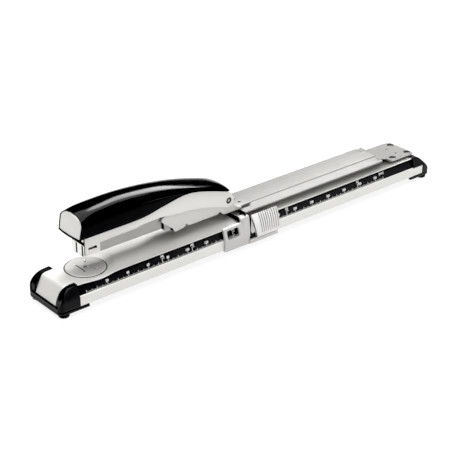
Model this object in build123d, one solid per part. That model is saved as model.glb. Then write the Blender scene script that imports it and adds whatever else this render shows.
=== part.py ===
from build123d import *
import os, math

# Long reach stapler. Millimetres, +Z up, +X towards the rear, -Y towards the
# ruler side that faces the user. Lengths along X are first given on the scale
# of the built-in ruler (its zero is the stop's pointer zero), and every piece
# is then moved by -XC so that the origin is at the middle of the footprint,
# on the surface that the feet rest on.
os.makedirs("parts", exist_ok=True)

# ---------------------------------------------------------------- dimensions
X_FRONT, X_REAR = -26.0, 393.0          # ends of the two end caps
XC = (X_FRONT + X_REAR) / 2             # footprint centre on the ruler scale
HALF_SIDE = 23.0                        # half width of the base at its sides
HALF_LIP = 19.5                         # half width at the roof's edge
Z_BOTTOM, Z_LEDGE, Z_LIP, Z_CREST = 6.2, 14.3, 23.3, 25.0
SHEET = 1.5                             # base sheet
Z_PLATEAU = 23.6                        # flat field around the anvil
CAP_END_F, CAP_END_R = -7.0, 370.0      # inner ends of the end caps' wings
NOSE_HALF = 14.9                        # half width of the sloping end panels

ANVIL_X, ANVIL_R, Z_ANVIL = 14.1, 16.5, 24.3
STAPLE_X, LEG_Y = 9.3, 5.9              # where a staple is driven
SHAFT_R = 2.2

PIV_X, PIV_Z, PIV_R = 150.9, 44.6, 2.65 # the head's pivot
ARM_HALF, ARM_X0, ARM_X1 = 18.0, 165.0, 334.0
Z_ARM_LO, Z_ARM_HI, Z_RIB = 29.6, 31.3, 32.3
RIB_HALF = 6.4
PLATE_X0, PLATE_X1, Z_PLATE = 338.0, 376.5, 26.6

STOP_X0, STOP_WALL, STOP_X1, GRIP_X1 = 137.5, 157.6, 166.8, 197.5
RUN = 0.35                              # gap between sliding faces

# ------------------------------------------------------------------- helpers
def face_of(parts, plane):
    """Closed face from runs of points: two points make a line, more a spline."""
    def v(p):
        if plane == "xz":
            return Vector(p[0], 0, p[1])
        if plane == "yz":
            return Vector(0, p[0], p[1])
        return Vector(p[0], p[1], 0)
    edges = []
    for run in parts:
        pts = [v(p) for p in run]
        if len(pts) == 2:
            edges.append(Edge.make_line(pts[0], pts[1]))
        else:
            edges.append(Edge.make_spline(pts))
    return Face(Wire(edges))

def poly(points, plane):
    n = len(points)
    return face_of([[points[i], points[(i + 1) % n]] for i in range(n)], plane)

def ext(face, plane, a, b):
    """Extrude a face between two positions along the axis across its plane."""
    d = {"xz": Vector(0, 1, 0), "yz": Vector(1, 0, 0), "xy": Vector(0, 0, 1)}[plane]
    s = Solid.extrude(face, d * (b - a))
    return s.moved(Location(d * a))

def box(x0, x1, y0, y1, z0, z1):
    return Box(x1 - x0, y1 - y0, z1 - z0).moved(
        Location(((x0 + x1) / 2, (y0 + y1) / 2, (z0 + z1) / 2)))

def cyl(axis, r, c, a, b):
    """Cylinder along an axis between a and b; c holds the other two coordinates."""
    s = Cylinder(r, b - a)
    m = (a + b) / 2
    if axis == "z":
        return s.moved(Location((c[0], c[1], m)))
    if axis == "y":
        return s.moved(Location((c[0], m, c[1]), (90, 0, 0)))
    return s.moved(Location((m, c[0], c[1]), (0, 90, 0)))

def tube(axis, ro, ri, c, a, b):
    return cyl(axis, ro, c, a, b) - cyl(axis, ri, c, a - 1, b + 1)

def mirror_y(s):
    return s.mirror(Plane.XZ)

def lerp(tab, x):
    if x <= tab[0][0]:
        return tab[0][1]
    for (x0, y0), (x1, y1) in zip(tab, tab[1:]):
        if x <= x1:
            t = (x - x0) / (x1 - x0)
            return y0 + (y1 - y0) * t
    return tab[-1][1]

def solids_of(s):
    return list(s.solids())

NODES = {}
def keep(name, *shapes):
    out = []
    for s in shapes:
        out += solids_of(s)
    out = [s.moved(Location((-XC, 0, 0))) for s in out]
    NODES[name] = out
    export_step(out[0] if len(out) == 1 else Compound(children=out), "parts/%s.step" % name)

# --------------------------------------------------------------- base section
roof = [(-HALF_LIP, Z_LIP), (-17, Z_LIP + 0.05), (-12, 24.25), (-6, 24.85), (0, Z_CREST),
        (6, 24.85), (12, 24.25), (17, Z_LIP + 0.05), (HALF_LIP, Z_LIP)]
roof_in = [(y * 0.905, z - SHEET) for y, z in roof]
def cover_section():
    r = [roof]
    right = [(HALF_LIP, Z_LIP), (19.25, 22.75), (18.5, 22.55), (21.2, 14.9), (HALF_SIDE, Z_LEDGE),
             (HALF_SIDE, Z_BOTTOM), (HALF_SIDE - SHEET, Z_BOTTOM), (HALF_SIDE - SHEET, 13.4),
             (19.9, 14.0), (HALF_LIP * 0.905, Z_LIP - SHEET)]
    for a, b in zip(right, right[1:]):
        r.append([a, b])
    r.append(list(reversed(roof_in)))
    left = [(-y, z) for y, z in reversed(right)]
    for a, b in zip(left, left[1:]):
        r.append([a, b])
    return face_of(r, "yz")

sec = cover_section()
X_HUMP = 33.5
hump = ext(sec, "yz", X_HUMP, 368.0)
# the flat field around the anvil: the same channel with a level, wider roof
flat_sec = poly([(-20.4, 22.5), (-19.7, Z_PLATEAU), (19.7, Z_PLATEAU), (20.4, 22.5), (20.3, 21.6),
                 (19.0, 21.3), (21.2, 14.9), (23, Z_LEDGE), (23, Z_BOTTOM), (21.5, Z_BOTTOM),
                 (21.5, 13.4), (19.9, 14.0), (17.7, 21.2), (16.5, 21.9),
                 (-16.5, 21.9), (-17.7, 21.2), (-19.9, 14.0), (-21.5, 13.4), (-21.5, Z_BOTTOM),
                 (-23, Z_BOTTOM), (-23, Z_LEDGE), (-21.2, 14.9), (-19.0, 21.3), (-20.3, 21.6)], "yz")
flat = ext(flat_sec, "yz", CAP_END_F + 0.3, X_HUMP)
# sloping silver nose, folded down between the wings of the end cap
nose_prof = [[(-6.7, Z_PLATEAU), (-14.5, 23.3)], [(-14.5, 23.3), (-16.4, 22.9), (-17.6, 21.9)],
             [(-17.6, 21.9), (-24.2, 9.2)], [(-24.2, 9.2), (-22.7, 9.2)], [(-22.7, 9.2), (-16.4, 21.2)],
             [(-16.4, 21.2), (-6.7, 22.0)], [(-6.7, 22.0), (-6.7, Z_PLATEAU)]]
nose = ext(face_of(nose_prof, "xz"), "xz", -NOSE_HALF, NOSE_HALF)
tail_prof = [[(368, 25.0), (372, 24.6), (378, 22.6)], [(378, 22.6), (391.2, 8.6)], [(391.2, 8.6), (389.7, 8.6)],
             [(389.7, 8.6), (377.2, 21.2)], [(377.2, 21.2), (368, 22.9)], [(368, 22.9), (368, 25.0)]]
tail = ext(face_of(tail_prof, "xz"), "xz", -NOSE_HALF, NOSE_HALF)
side_tail = box(368, 382.6, 21.5, 23.0, Z_BOTTOM, 14.2)
base_cover = flat + hump + nose + tail + side_tail + mirror_y(side_tail)
base_cover -= cyl("z", ANVIL_R + 0.6, (ANVIL_X, 0), 22.7, 30)
base_cover -= cyl("z", SHAFT_R + 0.06, (ANVIL_X, 0), 10, 30)
SCREWS = [(352.9, -10.8), (372.6, -10.8), (372.6, 10.8)]
for x, y in SCREWS:
    base_cover -= cyl("z", 1.6, (x, y), 18, 30)
RIVETS = [(362.4, -5.9), (362.4, 5.9)]
for x, y in RIVETS:
    base_cover -= cyl("z", 1.0, (x, y), 18, 30)
keep("base_cover", base_cover)

# floor plate that closes the channel from below
floor_plate = box(-5.5, 366.5, -21.3, 21.3, 6.4, 7.9)
floor_plate -= cyl("z", 12.5, (ANVIL_X, 0), 0, 20)
keep("base_floor_plate", floor_plate)

# black scale strips set into both sloping flanks
strip_pts = [(19.30, 22.62), (18.62, 22.48), (21.28, 15.02), (22.05, 14.78)]
strip = ext(poly([(-y, z) for y, z in strip_pts], "yz"), "yz", CAP_END_F + 0.2, CAP_END_R - 0.2)
clip_flat = ext(poly([(-25, 21.1), (-15, 21.1), (-15, 26), (-25, 26)], "yz"), "yz", CAP_END_F, X_HUMP + 0.2)
strip = strip - clip_flat
keep("ruler_strip_near", strip)
keep("ruler_strip_far", mirror_y(strip))

# ------------------------------------------------------------------ end caps
cap_prof = [[(CAP_END_F, 23.5), (-13, 23.3), (-17.6, 21.9), (-22.4, 17.3), (-25.1, 12.3), (-25.95, 9.0)],
            [(-25.95, 9.0), (-25.6, 5.2), (-24.2, 3.0)], [(-24.2, 3.0), (0.4, 3.0)], [(0.4, 3.0), (1.2, 4.6)],
            [(1.2, 4.6), (1.2, 6.0)], [(1.2, 6.0), (CAP_END_F, 6.0)], [(CAP_END_F, 6.0), (CAP_END_F, 23.5)]]
cap = ext(face_of(cap_prof, "xz"), "xz", -23.3, 23.3)
plan = box(X_FRONT, 2, -23.3, 23.3, 0, 30)
plan = plan.fillet(6.5, [e for e in plan.edges().filter_by(Axis.Z) if e.center().X < X_FRONT + 1])
cap = cap & plan
# shoulder of the wings leans in with the flank of the base
for s in (-1, 1):
    lean = poly([(s * 23.4, 14.0), (s * 20.3, 23.8), (s * 26, 23.8), (s * 26, 14.0)], "yz")
    cap -= ext(lean, "yz", -30, 3)
open_mid = ext(poly([(-24.2, 9.25), (-17.6, 21.95), (-14, 23.4), (-6, 23.8), (-6, 26), (-30, 26), (-30, 9.25)], "xz"),
               "xz", -NOSE_HALF - 0.05, NOSE_HALF + 0.05)
cap -= open_mid
hollow = ext(poly([(-22.6, 4.2), (-22.6, 9.0), (-16.3, 21.0), (3, 21.0), (3, 4.2)], "xz"), "xz", -20.6, 20.6)
cap -= hollow
panel_room = ext(poly([(-24.3, 9.1), (-17.6, 22.1), (-14, 23.6), (-6, 23.9), (-6, 19), (-20, 9.1)], "xz"),
                 "xz", -NOSE_HALF - 0.05, NOSE_HALF + 0.05)
cap -= panel_room
keep("front_end_cap", cap)

rcap_prof = [[(CAP_END_R, 23.5), (377.6, 22.9), (383.4, 18.6), (388.6, 13.4), (392.0, 7.6)],
             [(392.0, 7.6), (393.0, 5.4), (392.0, 3.0)], [(392.0, 3.0), (368.6, 3.0)], [(368.6, 3.0), (367.4, 4.6)],
             [(367.4, 4.6), (367.4, 6.0)], [(367.4, 6.0), (383.0, 6.0)], [(383.0, 6.0), (383.0, 14.4)],
             [(383.0, 14.4), (CAP_END_R, 14.4)], [(CAP_END_R, 14.4), (CAP_END_R, 23.5)]]
rcap = ext(face_of(rcap_prof, "xz"), "xz", -23.3, 23.3)
plan = box(360, X_REAR, -23.3, 23.3, 0, 30)
plan = plan.fillet(6.5, [e for e in plan.edges().filter_by(Axis.Z) if e.center().X > X_REAR - 1])
rcap = rcap & plan
for s in (-1, 1):
    lean = poly([(s * 23.4, 14.0), (s * 20.3, 23.8), (s * 26, 23.8), (s * 26, 14.0)], "yz")
    rcap -= ext(lean, "yz", 365, 400)
rcap -= ext(poly([(391.3, 8.5), (378.1, 22.8), (369, 25.2), (369, 19.0), (384, 8.5)], "xz"),
            "xz", -NOSE_HALF - 0.05, NOSE_HALF + 0.05)
rcap -= ext(poly([(395, 8.5), (391.0, 8.5), (378.1, 22.6), (369, 25), (369, 28), (395, 28)], "xz"),
            "xz", -NOSE_HALF - 0.05, NOSE_HALF + 0.05)
rcap -= ext(poly([(389.6, 4.2), (389.6, 8.6), (377, 21.0), (360, 21.0), (360, 4.2)], "xz"), "xz", -20.6, 20.6)
rcap -= box(360, 369.9, -23.5, 23.5, 6.1, 26)
keep("rear_end_cap", rcap)

# four rubber feet
feet = []
for x in (-19.8, 386.0):
    for y in (-18.4, 18.4):
        f = cyl("z", 4.6, (x, y), 0, 3.0) + cyl("z", 2.0, (x, y), 2.9, 4.2)
        f = f.fillet(1.4, [e for e in f.edges() if e.center().Z < 0.1])
        f -= box(x - 6, x + 6, y - 6, y + 6, 3.0, 5)
        feet.append(f)
keep("rubber_feet", *feet)

# --------------------------------------------------------------------- anvil
disc = cyl("z", ANVIL_R, (ANVIL_X, 0), 22.85, Z_ANVIL)
disc = disc.fillet(0.45, [e for e in disc.edges() if e.center().Z > Z_ANVIL - 0.01])
def groove(x, y0, y1, w, depth):
    g = box(x - w / 2, x + w / 2, y0, y1, Z_ANVIL - depth, Z_ANVIL + 1)
    return g
disc -= groove(STAPLE_X, -LEG_Y - 0.6, LEG_Y + 0.6, 1.1, 0.5)
for s in (-1, 1):
    disc -= cyl("z", 1.0, (STAPLE_X, s * LEG_Y), Z_ANVIL - 0.75, 30)
    disc -= box(2 * ANVIL_X - STAPLE_X - 1.0, 2 * ANVIL_X - STAPLE_X + 1.0, min(s * 6.4, s * 11.2), max(s * 6.4, s * 11.2),
                Z_ANVIL - 0.7, 30)
disc -= cyl("z", 1.5, (ANVIL_X + 3.5, -ANVIL_R - 0.2), 20, 30)
disc -= cyl("z", SHAFT_R, (ANVIL_X, 0), 20, 30)
keep("anvil_disc", disc)
shaft = cyl("z", SHAFT_R, (ANVIL_X, 0), 16.5, Z_ANVIL - 0.05)
keep("anvil_shaft", shaft)
knob = tube("z", 8.6, SHAFT_R, (ANVIL_X, 0), 17.2, 19.4)
knob += box(ANVIL_X - 7.6, ANVIL_X + 7.6, -1.1, 1.1, 15.0, 17.3) - cyl("z", SHAFT_R, (ANVIL_X, 0), 10, 20)
keep("anvil_knob", knob)
wave = tube("z", 5.6, 2.9, (ANVIL_X, 0), 19.5, 20.6)
keep("anvil_spring", wave)

# ----------------------------------------------------------- arm and bracket
arm_sec = face_of([
    [(-ARM_HALF, 29.9), (-ARM_HALF, 30.9)], [(-ARM_HALF, 30.9), (-17.6, Z_ARM_HI)], [(-17.6, Z_ARM_HI), (-7.4, Z_ARM_HI + 0.1)],
    [(-7.4, Z_ARM_HI + 0.1), (-RIB_HALF, Z_RIB)], [(-RIB_HALF, Z_RIB), (RIB_HALF, Z_RIB)],
    [(RIB_HALF, Z_RIB), (7.4, Z_ARM_HI + 0.1)], [(7.4, Z_ARM_HI + 0.1), (17.6, Z_ARM_HI)], [(17.6, Z_ARM_HI), (ARM_HALF, 30.9)],
    [(ARM_HALF, 30.9), (ARM_HALF, 29.9)], [(ARM_HALF, 29.9), (17.7, Z_ARM_LO)], [(17.7, Z_ARM_LO), (-17.7, Z_ARM_LO)],
    [(-17.7, Z_ARM_LO), (-ARM_HALF, 29.9)]], "yz")
arm = ext(arm_sec, "yz", ARM_X0, ARM_X1)
ramp = ext(poly([(ARM_X1 - 1, Z_RIB), (337.0, Z_RIB), (346.0, Z_PLATE + 0.2), (346, 25.1), (340.5, 25.1), (334.5, 29.7), (ARM_X1 - 1, 29.7)],
                "xz"), "xz", -16.6, 16.6)
plate = box(341.0, PLATE_X1, -16.8, 16.8, 25.1, Z_PLATE)
plate = plate.fillet(2.5, [e for e in plate.edges().filter_by(Axis.Z) if e.center().X > 370])
arm = arm + ramp + plate
for x, y in SCREWS:
    arm -= cyl("z", 1.6, (x, y), 18, 40)
    arm -= cyl("z", 3.1, (x, y), 25.6, 40)
for x, y in RIVETS:
    arm -= cyl("z", 1.0, (x, y), 18, 40)
BR_RIV = [(170.5, -3.6), (170.5, 3.6)]
for x, y in BR_RIV:
    arm -= cyl("z", 1.2, (x, y), 18, 40)
keep("long_arm", arm)

# block under the roof that the arm's screws go into
block = box(345, 376, -15.6, 15.6, 8.2, 20.9)
for x, y in SCREWS:
    block -= cyl("z", 1.5, (x, y), 10.0, 30)
for x, y in RIVETS:
    block -= cyl("z", 1.0, (x, y), 14.0, 30)
keep("arm_mount_block", block)
spacer = box(345.5, 367.5, -13.6, 13.6, 20.9, 22.0)
for x, y in SCREWS:
    spacer -= cyl("z", 1.7, (x, y), 10.0, 30)
for x, y in RIVETS:
    spacer -= cyl("z", 1.05, (x, y), 10.0, 30)
keep("mount_shim", spacer)

scr = []
for x, y in SCREWS:
    s = cyl("z", 1.45, (x, y), 12.0, 25.7) + cyl("z", 2.9, (x, y), 25.65, 26.45)
    s -= extrude(Plane.XY.offset(25.9) * Pos(x, y) * RegularPolygon(1.3, 6), 3)
    scr.append(s)
keep("arm_screws", *scr)
rv = []
for x, y in RIVETS:
    rv.append(cyl("z", 0.95, (x, y), 16.0, Z_PLATE + 0.25))
keep("arm_rivets", *rv)

br_side = [[(81.2, 46.6), (82.2, 49.4), (85.0, 50.3)], [(85.0, 50.3), (104, 49.6), (124, 48.6), (142, 50.6)],
           [(142, 50.6), (150.9, 50.4), (156.7, 44.6), (158.0, 38.5)], [(158.0, 38.5), (166.0, 34.3)],
           [(166.0, 34.3), (166.0, 32.4)], [(166.0, 32.4), (146.5, 32.4)], [(146.5, 32.4), (141.5, 35.4)], [(141.5, 35.4), (140.4, 34.4)],
           [(140.4, 34.4), (107.4, 34.4)], [(107.4, 34.4), (106.2, 36.2)], [(106.2, 36.2), (104.2, 34.2)],
           [(104.2, 34.2), (94.4, 33.2)], [(94.4, 33.2), (92.3, 37.0), (84.5, 43.0), (81.2, 46.6)]]
side = ext(face_of(br_side, "xz"), "xz", -12.0, -10.3)
side -= cyl("y", PIV_R, (PIV_X, PIV_Z), -14, -8)
br = side + mirror_y(side) + box(99, 166, -10.4, 10.4, 34.2, 35.4) + box(150, 178, -10.2, 10.2, 32.4, 34.2)
for x, y in BR_RIV:
    br -= cyl("z", 1.2, (x, y), 18, 40)
keep("head_bracket", br)
keep("bracket_rivets", *[cyl("z", 1.15, (x, y), 29.8, 35.1) for x, y in BR_RIV])

pin = cyl("y", PIV_R - 0.03, (PIV_X, PIV_Z), -14.0, 14.0)
pin -= cyl("y", 1.2, (PIV_X, PIV_Z), -14.1, -12.6)
pin -= cyl("y", 1.2, (PIV_X, PIV_Z), 12.6, 14.1)
keep("pivot_pin", pin)

# torsion spring round the pivot pin; one leg on the bracket floor, one ahead
tspr = tube("y", 4.5, 3.2, (PIV_X, PIV_Z), -6.5, 6.5)
tspr += ext(poly([(PIV_X - 3.6, 42.4), (PIV_X - 3.2, 41.2), (128, 35.5), (128, 36.6)], "xz"), "xz", -6.4, -5.2)
keep("head_return_spring", tspr)

# ------------------------------------------------------------ magazine group
T_H = 0.9
HW = 13.2
outer = [[(9.0, -9.3), (22, -9.5), (32, -10.3), (45, -11.7), (58, -12.9), (72, -HW)], [(72, -HW), (160, -HW)],
         [(160, -HW), (160, -HW + T_H)], [(160, -HW + T_H), (72, -HW + T_H)],
         [(72, -HW + T_H), (58, -12.9 + T_H), (45, -11.7 + T_H), (32, -10.3 + T_H), (22, -9.5 + T_H), (9.0, -9.3 + T_H)],
         [(9.0, -9.3 + T_H), (9.0, -9.3)]]
wall = ext(face_of(outer, "xy"), "xy", 30, 75)
hs = [[(9.0, 38.6), (22.6, 38.6)], [(22.6, 38.6), (22.6, 47.9)], [(22.6, 47.9), (59, 50.6)],
      [(59, 50.6), (79, 51.5), (91.6, 50.0), (108.7, 48.4), (120.7, 46.7), (132.9, 43.7), (146.5, 39.6)],
      [(146.5, 39.6), (150.9, 38.6), (155.2, 40.8), (156.6, 44.6), (154.8, 48.2)], [(154.8, 48.2), (148.6, 53.6)],
      [(148.6, 53.6), (134, 57.7), (121, 60.7), (107, 62.8), (97, 62.8), (86, 61.4), (74, 60.0), (60, 59.2)],
      [(60, 59.2), (9.0, 59.4)], [(9.0, 59.4), (9.0, 38.6)]]
hside = wall & ext(face_of(hs, "xz"), "xz", -16, 0)
hside -= cyl("y", PIV_R + 0.05, (PIV_X, PIV_Z), -20, 0)
slot = box(12.6, 18.6, -12, -6, 43.3, 45.1) + cyl("y", 0.9, (12.6, 44.2), -12, -6) + cyl("y", 0.9, (18.6, 44.2), -12, -6)
hside -= slot
roof_plan = poly([(13.5, -8.9), (22, -9.1), (32, -9.9), (45, -11.3), (58, -12.4), (76, -12.6),
                  (76, 12.6), (58, 12.4), (45, 11.3), (32, 9.9), (22, 9.1), (13.5, 8.9)], "xy")
housing = hside + mirror_y(hside) + ext(roof_plan, "xy", 50.9, 51.9)
keep("magazine_housing", housing)
def gpin(s):
    return cyl("y", 0.9, (18.6, 44.2), min(s * 8.45, s * 10.0), max(s * 8.45, s * 10.0))
keep("housing_guide_pins", gpin(-1), gpin(1))

# carrier under the housing roof: bears the latch pin
car = box(60, 76, -9.7, 9.7, 49.6, 50.8)
for s in (-1, 1):
    a, b = sorted((s * 8.9, s * 9.7))
    car += ext(poly([(60, 50.8), (60, 47.9), (84.6, 47.6), (85.5, 36.4), (93.5, 36.4), (95.5, 43.0), (92, 49.0), (76, 50.8)], "xz"), "xz", a, b)
car -= cyl("y", 1.2, (89.6, 39.6), -12, 12)
keep("latch_carrier", car)
keep("latch_pin", cyl("y", 1.2, (89.6, 39.6), -9.9, 9.9))
leaf = ext(poly([(26, 52.4), (34, 52.4), (46, 56.0), (57, 62.6), (64.6, 69.6), (65.1, 69.2), (57.4, 62.1), (46.2, 55.4), (34.2, 51.92), (26, 51.92)], "xz"), "xz", -4, 4)
keep("handle_return_spring", leaf)

# front-loading tray
TR0, TR1 = 8.9, 84.0
tray = box(11.2, TR1, -7.6, 7.6, 37.8, 38.8)
for s in (-1, 1):
    a, b = sorted((s * 6.75, s * 7.6))
    tray += box(TR0, TR1, a, b, 38.0, 47.4)
    a, b = sorted((s * 7.5, s * 8.2))
    tray += box(24.2, TR1, a, b, 46.3, 47.4)
tray += box(TR1 - 1.0, TR1, -7.0, 7.0, 38.0, 44.5)
tray -= cyl("x", 1.0, (0, 41.4), TR1 - 2, TR1 + 1)
keep("staple_tray", tray)
nplate = box(7.9, 8.9, -8.2, 8.2, 37.8, 47.9)
for y in (-4.0, 4.0):
    nplate -= box(7.0, 8.25, y - 0.55, y + 0.55, 38.6, 47.2)
keep("nose_plate", nplate)
rail = box(11.3, 82.8, -5.5, 5.5, 38.85, 44.2) - box(11.0, 83.5, -4.7, 4.7, 38.0, 43.4)
rail -= box(35.0, 82.0, -1.5, 1.5, 43.0, 45)
keep("staple_rail", rail)
keep("guide_rod", cyl("x", 0.98, (0, 41.4), 12.0, 84.0))
staples = box(11.3, 36.0, -6.35, 6.35, 39.1, 45.0) - box(11.0, 37.0, -5.75, 5.75, 38.0, 44.4)
keep("staple_strip", staples)
push = box(36.3, 45.5, -6.3, 6.3, 39.6, 45.4) - box(36.0, 46, -5.75, 5.75, 39.0, 44.45)
push += box(36.5, 45.0, -1.2, 1.2, 39.4, 44.6) + box(36.5, 45.0, -3.2, 3.2, 39.4, 43.1)
push -= cyl("x", 1.04, (0, 41.4), 35, 47)
keep("pusher", push)
keep("pusher_spring", tube("x", 1.9, 1.2, (0, 41.4), 45.1, 82.6))

# release latch under the tray's tail
latch = ext(face_of([[(84.6, 38.6), (86.4, 41.6)], [(86.4, 41.6), (91.6, 41.8)], [(91.6, 41.8), (94.5, 38.4), (97.2, 33.2)],
                     [(97.2, 33.2), (94.6, 32.9)], [(94.6, 32.9), (91.6, 35.6), (86.6, 35.4)], [(86.6, 35.4), (84.6, 38.6)]], "xz"), "xz", -8.4, 8.4)
latch -= cyl("y", 1.25, (89.6, 39.6), -12, 12)
keep("release_latch", latch)
keep("latch_spring", tube("y", 2.4, 1.6, (89.6, 44.6), -3.0, 3.0))

# ---------------------------------------------------------------- handle group
crown = [(-2, 72.8), (3, 74.5), (7, 76.0), (11, 77.0), (26, 78.4), (38, 79.0), (51, 78.7), (64, 77.7), (80, 75.9), (96, 73.1),
         (116, 68.5), (132, 64.3), (142, 61.2), (148, 59.0), (152, 57.0), (156.2, 54.0)]
crease = [(-2, 67.2), (5, 68.2), (30, 69.9), (52, 70.5), (80, 69.6), (100, 67.0), (120, 62.8), (140, 57.2), (150, 54.2), (156.2, 52.2)]
halfw = [(-2, 14.1), (5, 14.35), (20, 14.7), (45, 15.1), (70, 15.25), (138, 15.25), (145, 15.0), (150, 14.2), (153.5, 12.6), (156.2, 10.2)]
Z_SKIRT = 46.0
def hsec(x, off):
    w = lerp(halfw, x) - off
    zt = lerp(crown, x) - off
    zc = min(lerp(crease, x) - off * 0.6, zt - 1.0)
    h = zt - zc
    pts = [(-w, zc)]
    for k in range(1, 8):
        a = math.pi * k / 8
        pts.append((-w * math.cos(a), zc + h * math.sin(a)))
    pts.append((w, zc))
    v = [Vector(x, y, z) for y, z in pts]
    e = [Edge.make_spline(v, tangents=[Vector(0, 0.12, 1), Vector(0, 0.12, -1)]),
         Edge.make_line(v[-1], Vector(x, w, Z_SKIRT)), Edge.make_line(Vector(x, w, Z_SKIRT), Vector(x, -w, Z_SKIRT)),
         Edge.make_line(Vector(x, -w, Z_SKIRT), v[0])]
    return Wire(e)
XS = [-2, 8, 22, 38, 54, 72, 92, 112, 128, 140, 148, 152.6, 156.2]
outer_b = Solid.make_loft([hsec(x, 0.0) for x in XS])
inner_b = Solid.make_loft([hsec(x, 1.0) for x in XS])
hand_side = face_of([[(0.7, 56.8), (58, 57.3)], [(58, 57.3), (66, 58.2), (75.5, 60.2), (86.5, 62.0), (98, 64.0), (107, 64.9),
                     (121, 62.6), (134, 59.1), (148, 54.5)], [(148, 54.5), (152, 53.3), (155.6, 52.2)],
                    [(155.6, 52.2), (159, 90)], [(159, 90), (7.2, 90)], [(7.2, 90), (0.7, 56.8)]], "xz")
hand_prism = ext(hand_side, "xz", -20, 20)
cover = (outer_b - inner_b) & hand_prism
keep("handle_cover", cover)
cap_slab = ext(poly([(0.9, 57.0), (2.6, 57.0), (6.7, 78), (5.0, 78)], "xz"), "xz", -20, 20)
cap_b = Solid.make_loft([hsec(x, 1.06) for x in XS])
nose_cap = cap_b & cap_slab
keep("nose_cap", nose_cap)

lev_top = [(7.5, 71.5), (26, 73.1), (38, 73.6), (51, 73.2), (64, 72.2), (80, 70.4), (96, 67.6), (116, 62.9), (132, 58.5), (142, 55.1)]
lev_bot = [(x, z - 1.6) for x, z in reversed(lev_top)]
lev_face = face_of([lev_top, [lev_top[-1], lev_bot[0]], lev_bot, [lev_bot[-1], lev_top[0]]], "xz")
lev = ext(lev_face, "xz", -7.5, 7.5) + (ext(lev_face, "xz", -9.9, 9.9) & box(104, 150, -12, 12, 40, 80))
ear = face_of([[(106, 64.2), (106, 60.0)], [(106, 60.0), (125, 52.0), (143.0, 44.6)],
               [(143.0, 44.6), (145.5, 40.2), (150.9, 38.9), (156.2, 42.4), (156.4, 46.6)], [(156.4, 46.6), (150.0, 51.0), (142.0, 54.6)],
               [(142.0, 54.6), (124, 60.0), (106, 64.2)]], "xz")
for s in (-1, 1):
    a, b = sorted((s * 8.3, s * 9.9))
    e = ext(ear, "xz", a, b)
    e -= cyl("y", PIV_R + 0.05, (PIV_X, PIV_Z), -14, 14)
    lev += e
lev += box(8.2, 12.6, -5.5, 5.5, 64.0, 71.0)
lev -= cyl("x", 0.8, (-3.0, 67.0), 0, 14)
lev -= cyl("x", 0.8, (3.0, 67.0), 0, 14)
lev -= box(9.5, 10.12, -7, 7, 60, 69.2)
keep("handle_lever", lev)
blade = box(9.55, 10.07, -6.1, 6.1, 45.7, 69.1)
blade -= cyl("x", 0.8, (-3.0, 67.0), 0, 14)
blade -= cyl("x", 0.8, (3.0, 67.0), 0, 14)
keep("driver_blade", blade)
keep("blade_rivets", cyl("x", 0.78, (-3.0, 67.0), 7.9, 12.9), cyl("x", 0.78, (3.0, 67.0), 7.9, 12.9))

# ------------------------------------------------------------------ paper stop
# saddle that runs on the base; clear of the flanks, the roof and the arm
inn = [(-23.35, 3), (-23.35, 14.55), (-22.45, 15.0), (-19.85, 23.75), (-17.0, 23.85), (-12, 24.75), (-6, 25.25), (0, 25.4)]
inn = inn + [(-y, z) for y, z in reversed(inn[:-1])]
inner_prism = ext(poly(inn, "yz"), "yz", 100, 230)
out_side = [(-25.0, 4.6), (-25.0, 13.7), (-21.9, 24.6), (-20.6, 25.2), (-15, 25.2), (-15, 4.6)]
side_n = ext(poly(out_side, "yz"), "yz", STOP_X0, STOP_X1) - inner_prism
side_n = side_n - box(100, 230, -23.35, -10, 0, 15) - box(100, 230, -19.6, 0, 20, 30)
lip = box(STOP_X0, STOP_X1, -24.6, -21.6, 4.6, 5.85)
arch_out = [(-25.0, 4.6), (-25.0, 13.7), (-22.3, 24.0), (-20.8, 27.6), (-18.6, 28.9), (-15.6, 28.9), (-13.4, 27.0)]
arch_out = arch_out + [(-y, z) for y, z in reversed(arch_out)]
arch = ext(poly(arch_out, "yz"), "yz", STOP_WALL, STOP_X1) - inner_prism
far_rear = ext(poly([(25.0, 4.6), (26.2, 8.0), (26.2, 13.0), (23.6, 22.4), (21.2, 27.8), (20.2, 27.8), (20.4, 24.0), (23.4, 14.4), (23.4, 5.9), (21.6, 5.85), (21.6, 4.6)], "yz"),
               "yz", STOP_X1 - 0.1, GRIP_X1)
ledge_n = box(STOP_X1 - 0.1, GRIP_X1 - 2.5, -26.2, -21.6, 4.6, 5.85) + box(STOP_X1 - 0.1, GRIP_X1 - 2.5, -26.2, -23.4, 5.8, 8.2)
stop = side_n + mirror_y(side_n) + lip + mirror_y(lip) + arch + far_rear + ledge_n
# sight window over the scale
win = ext(poly([(-27, 14.9), (-27, 22.6), (-15, 22.6), (-15, 14.9)], "yz"), "yz", 140.6, 153.4)
win = win.fillet(1.6, win.edges().filter_by(Axis.Y))
stop -= win
# stub that carries the grip's pin and spring
stop += box(STOP_X1 - 0.1, STOP_X1 + 1.6, -24.0, -20.6, 15.6, 20.0) - inner_prism
keep("stop_body", stop)
lens = (ext(poly([(-24.45, 14.0), (-21.7, 23.4), (-21.2, 23.4), (-23.95, 14.0)], "yz"), "yz", 140.0, 154.0)) & win
keep("stop_window", lens)

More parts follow.
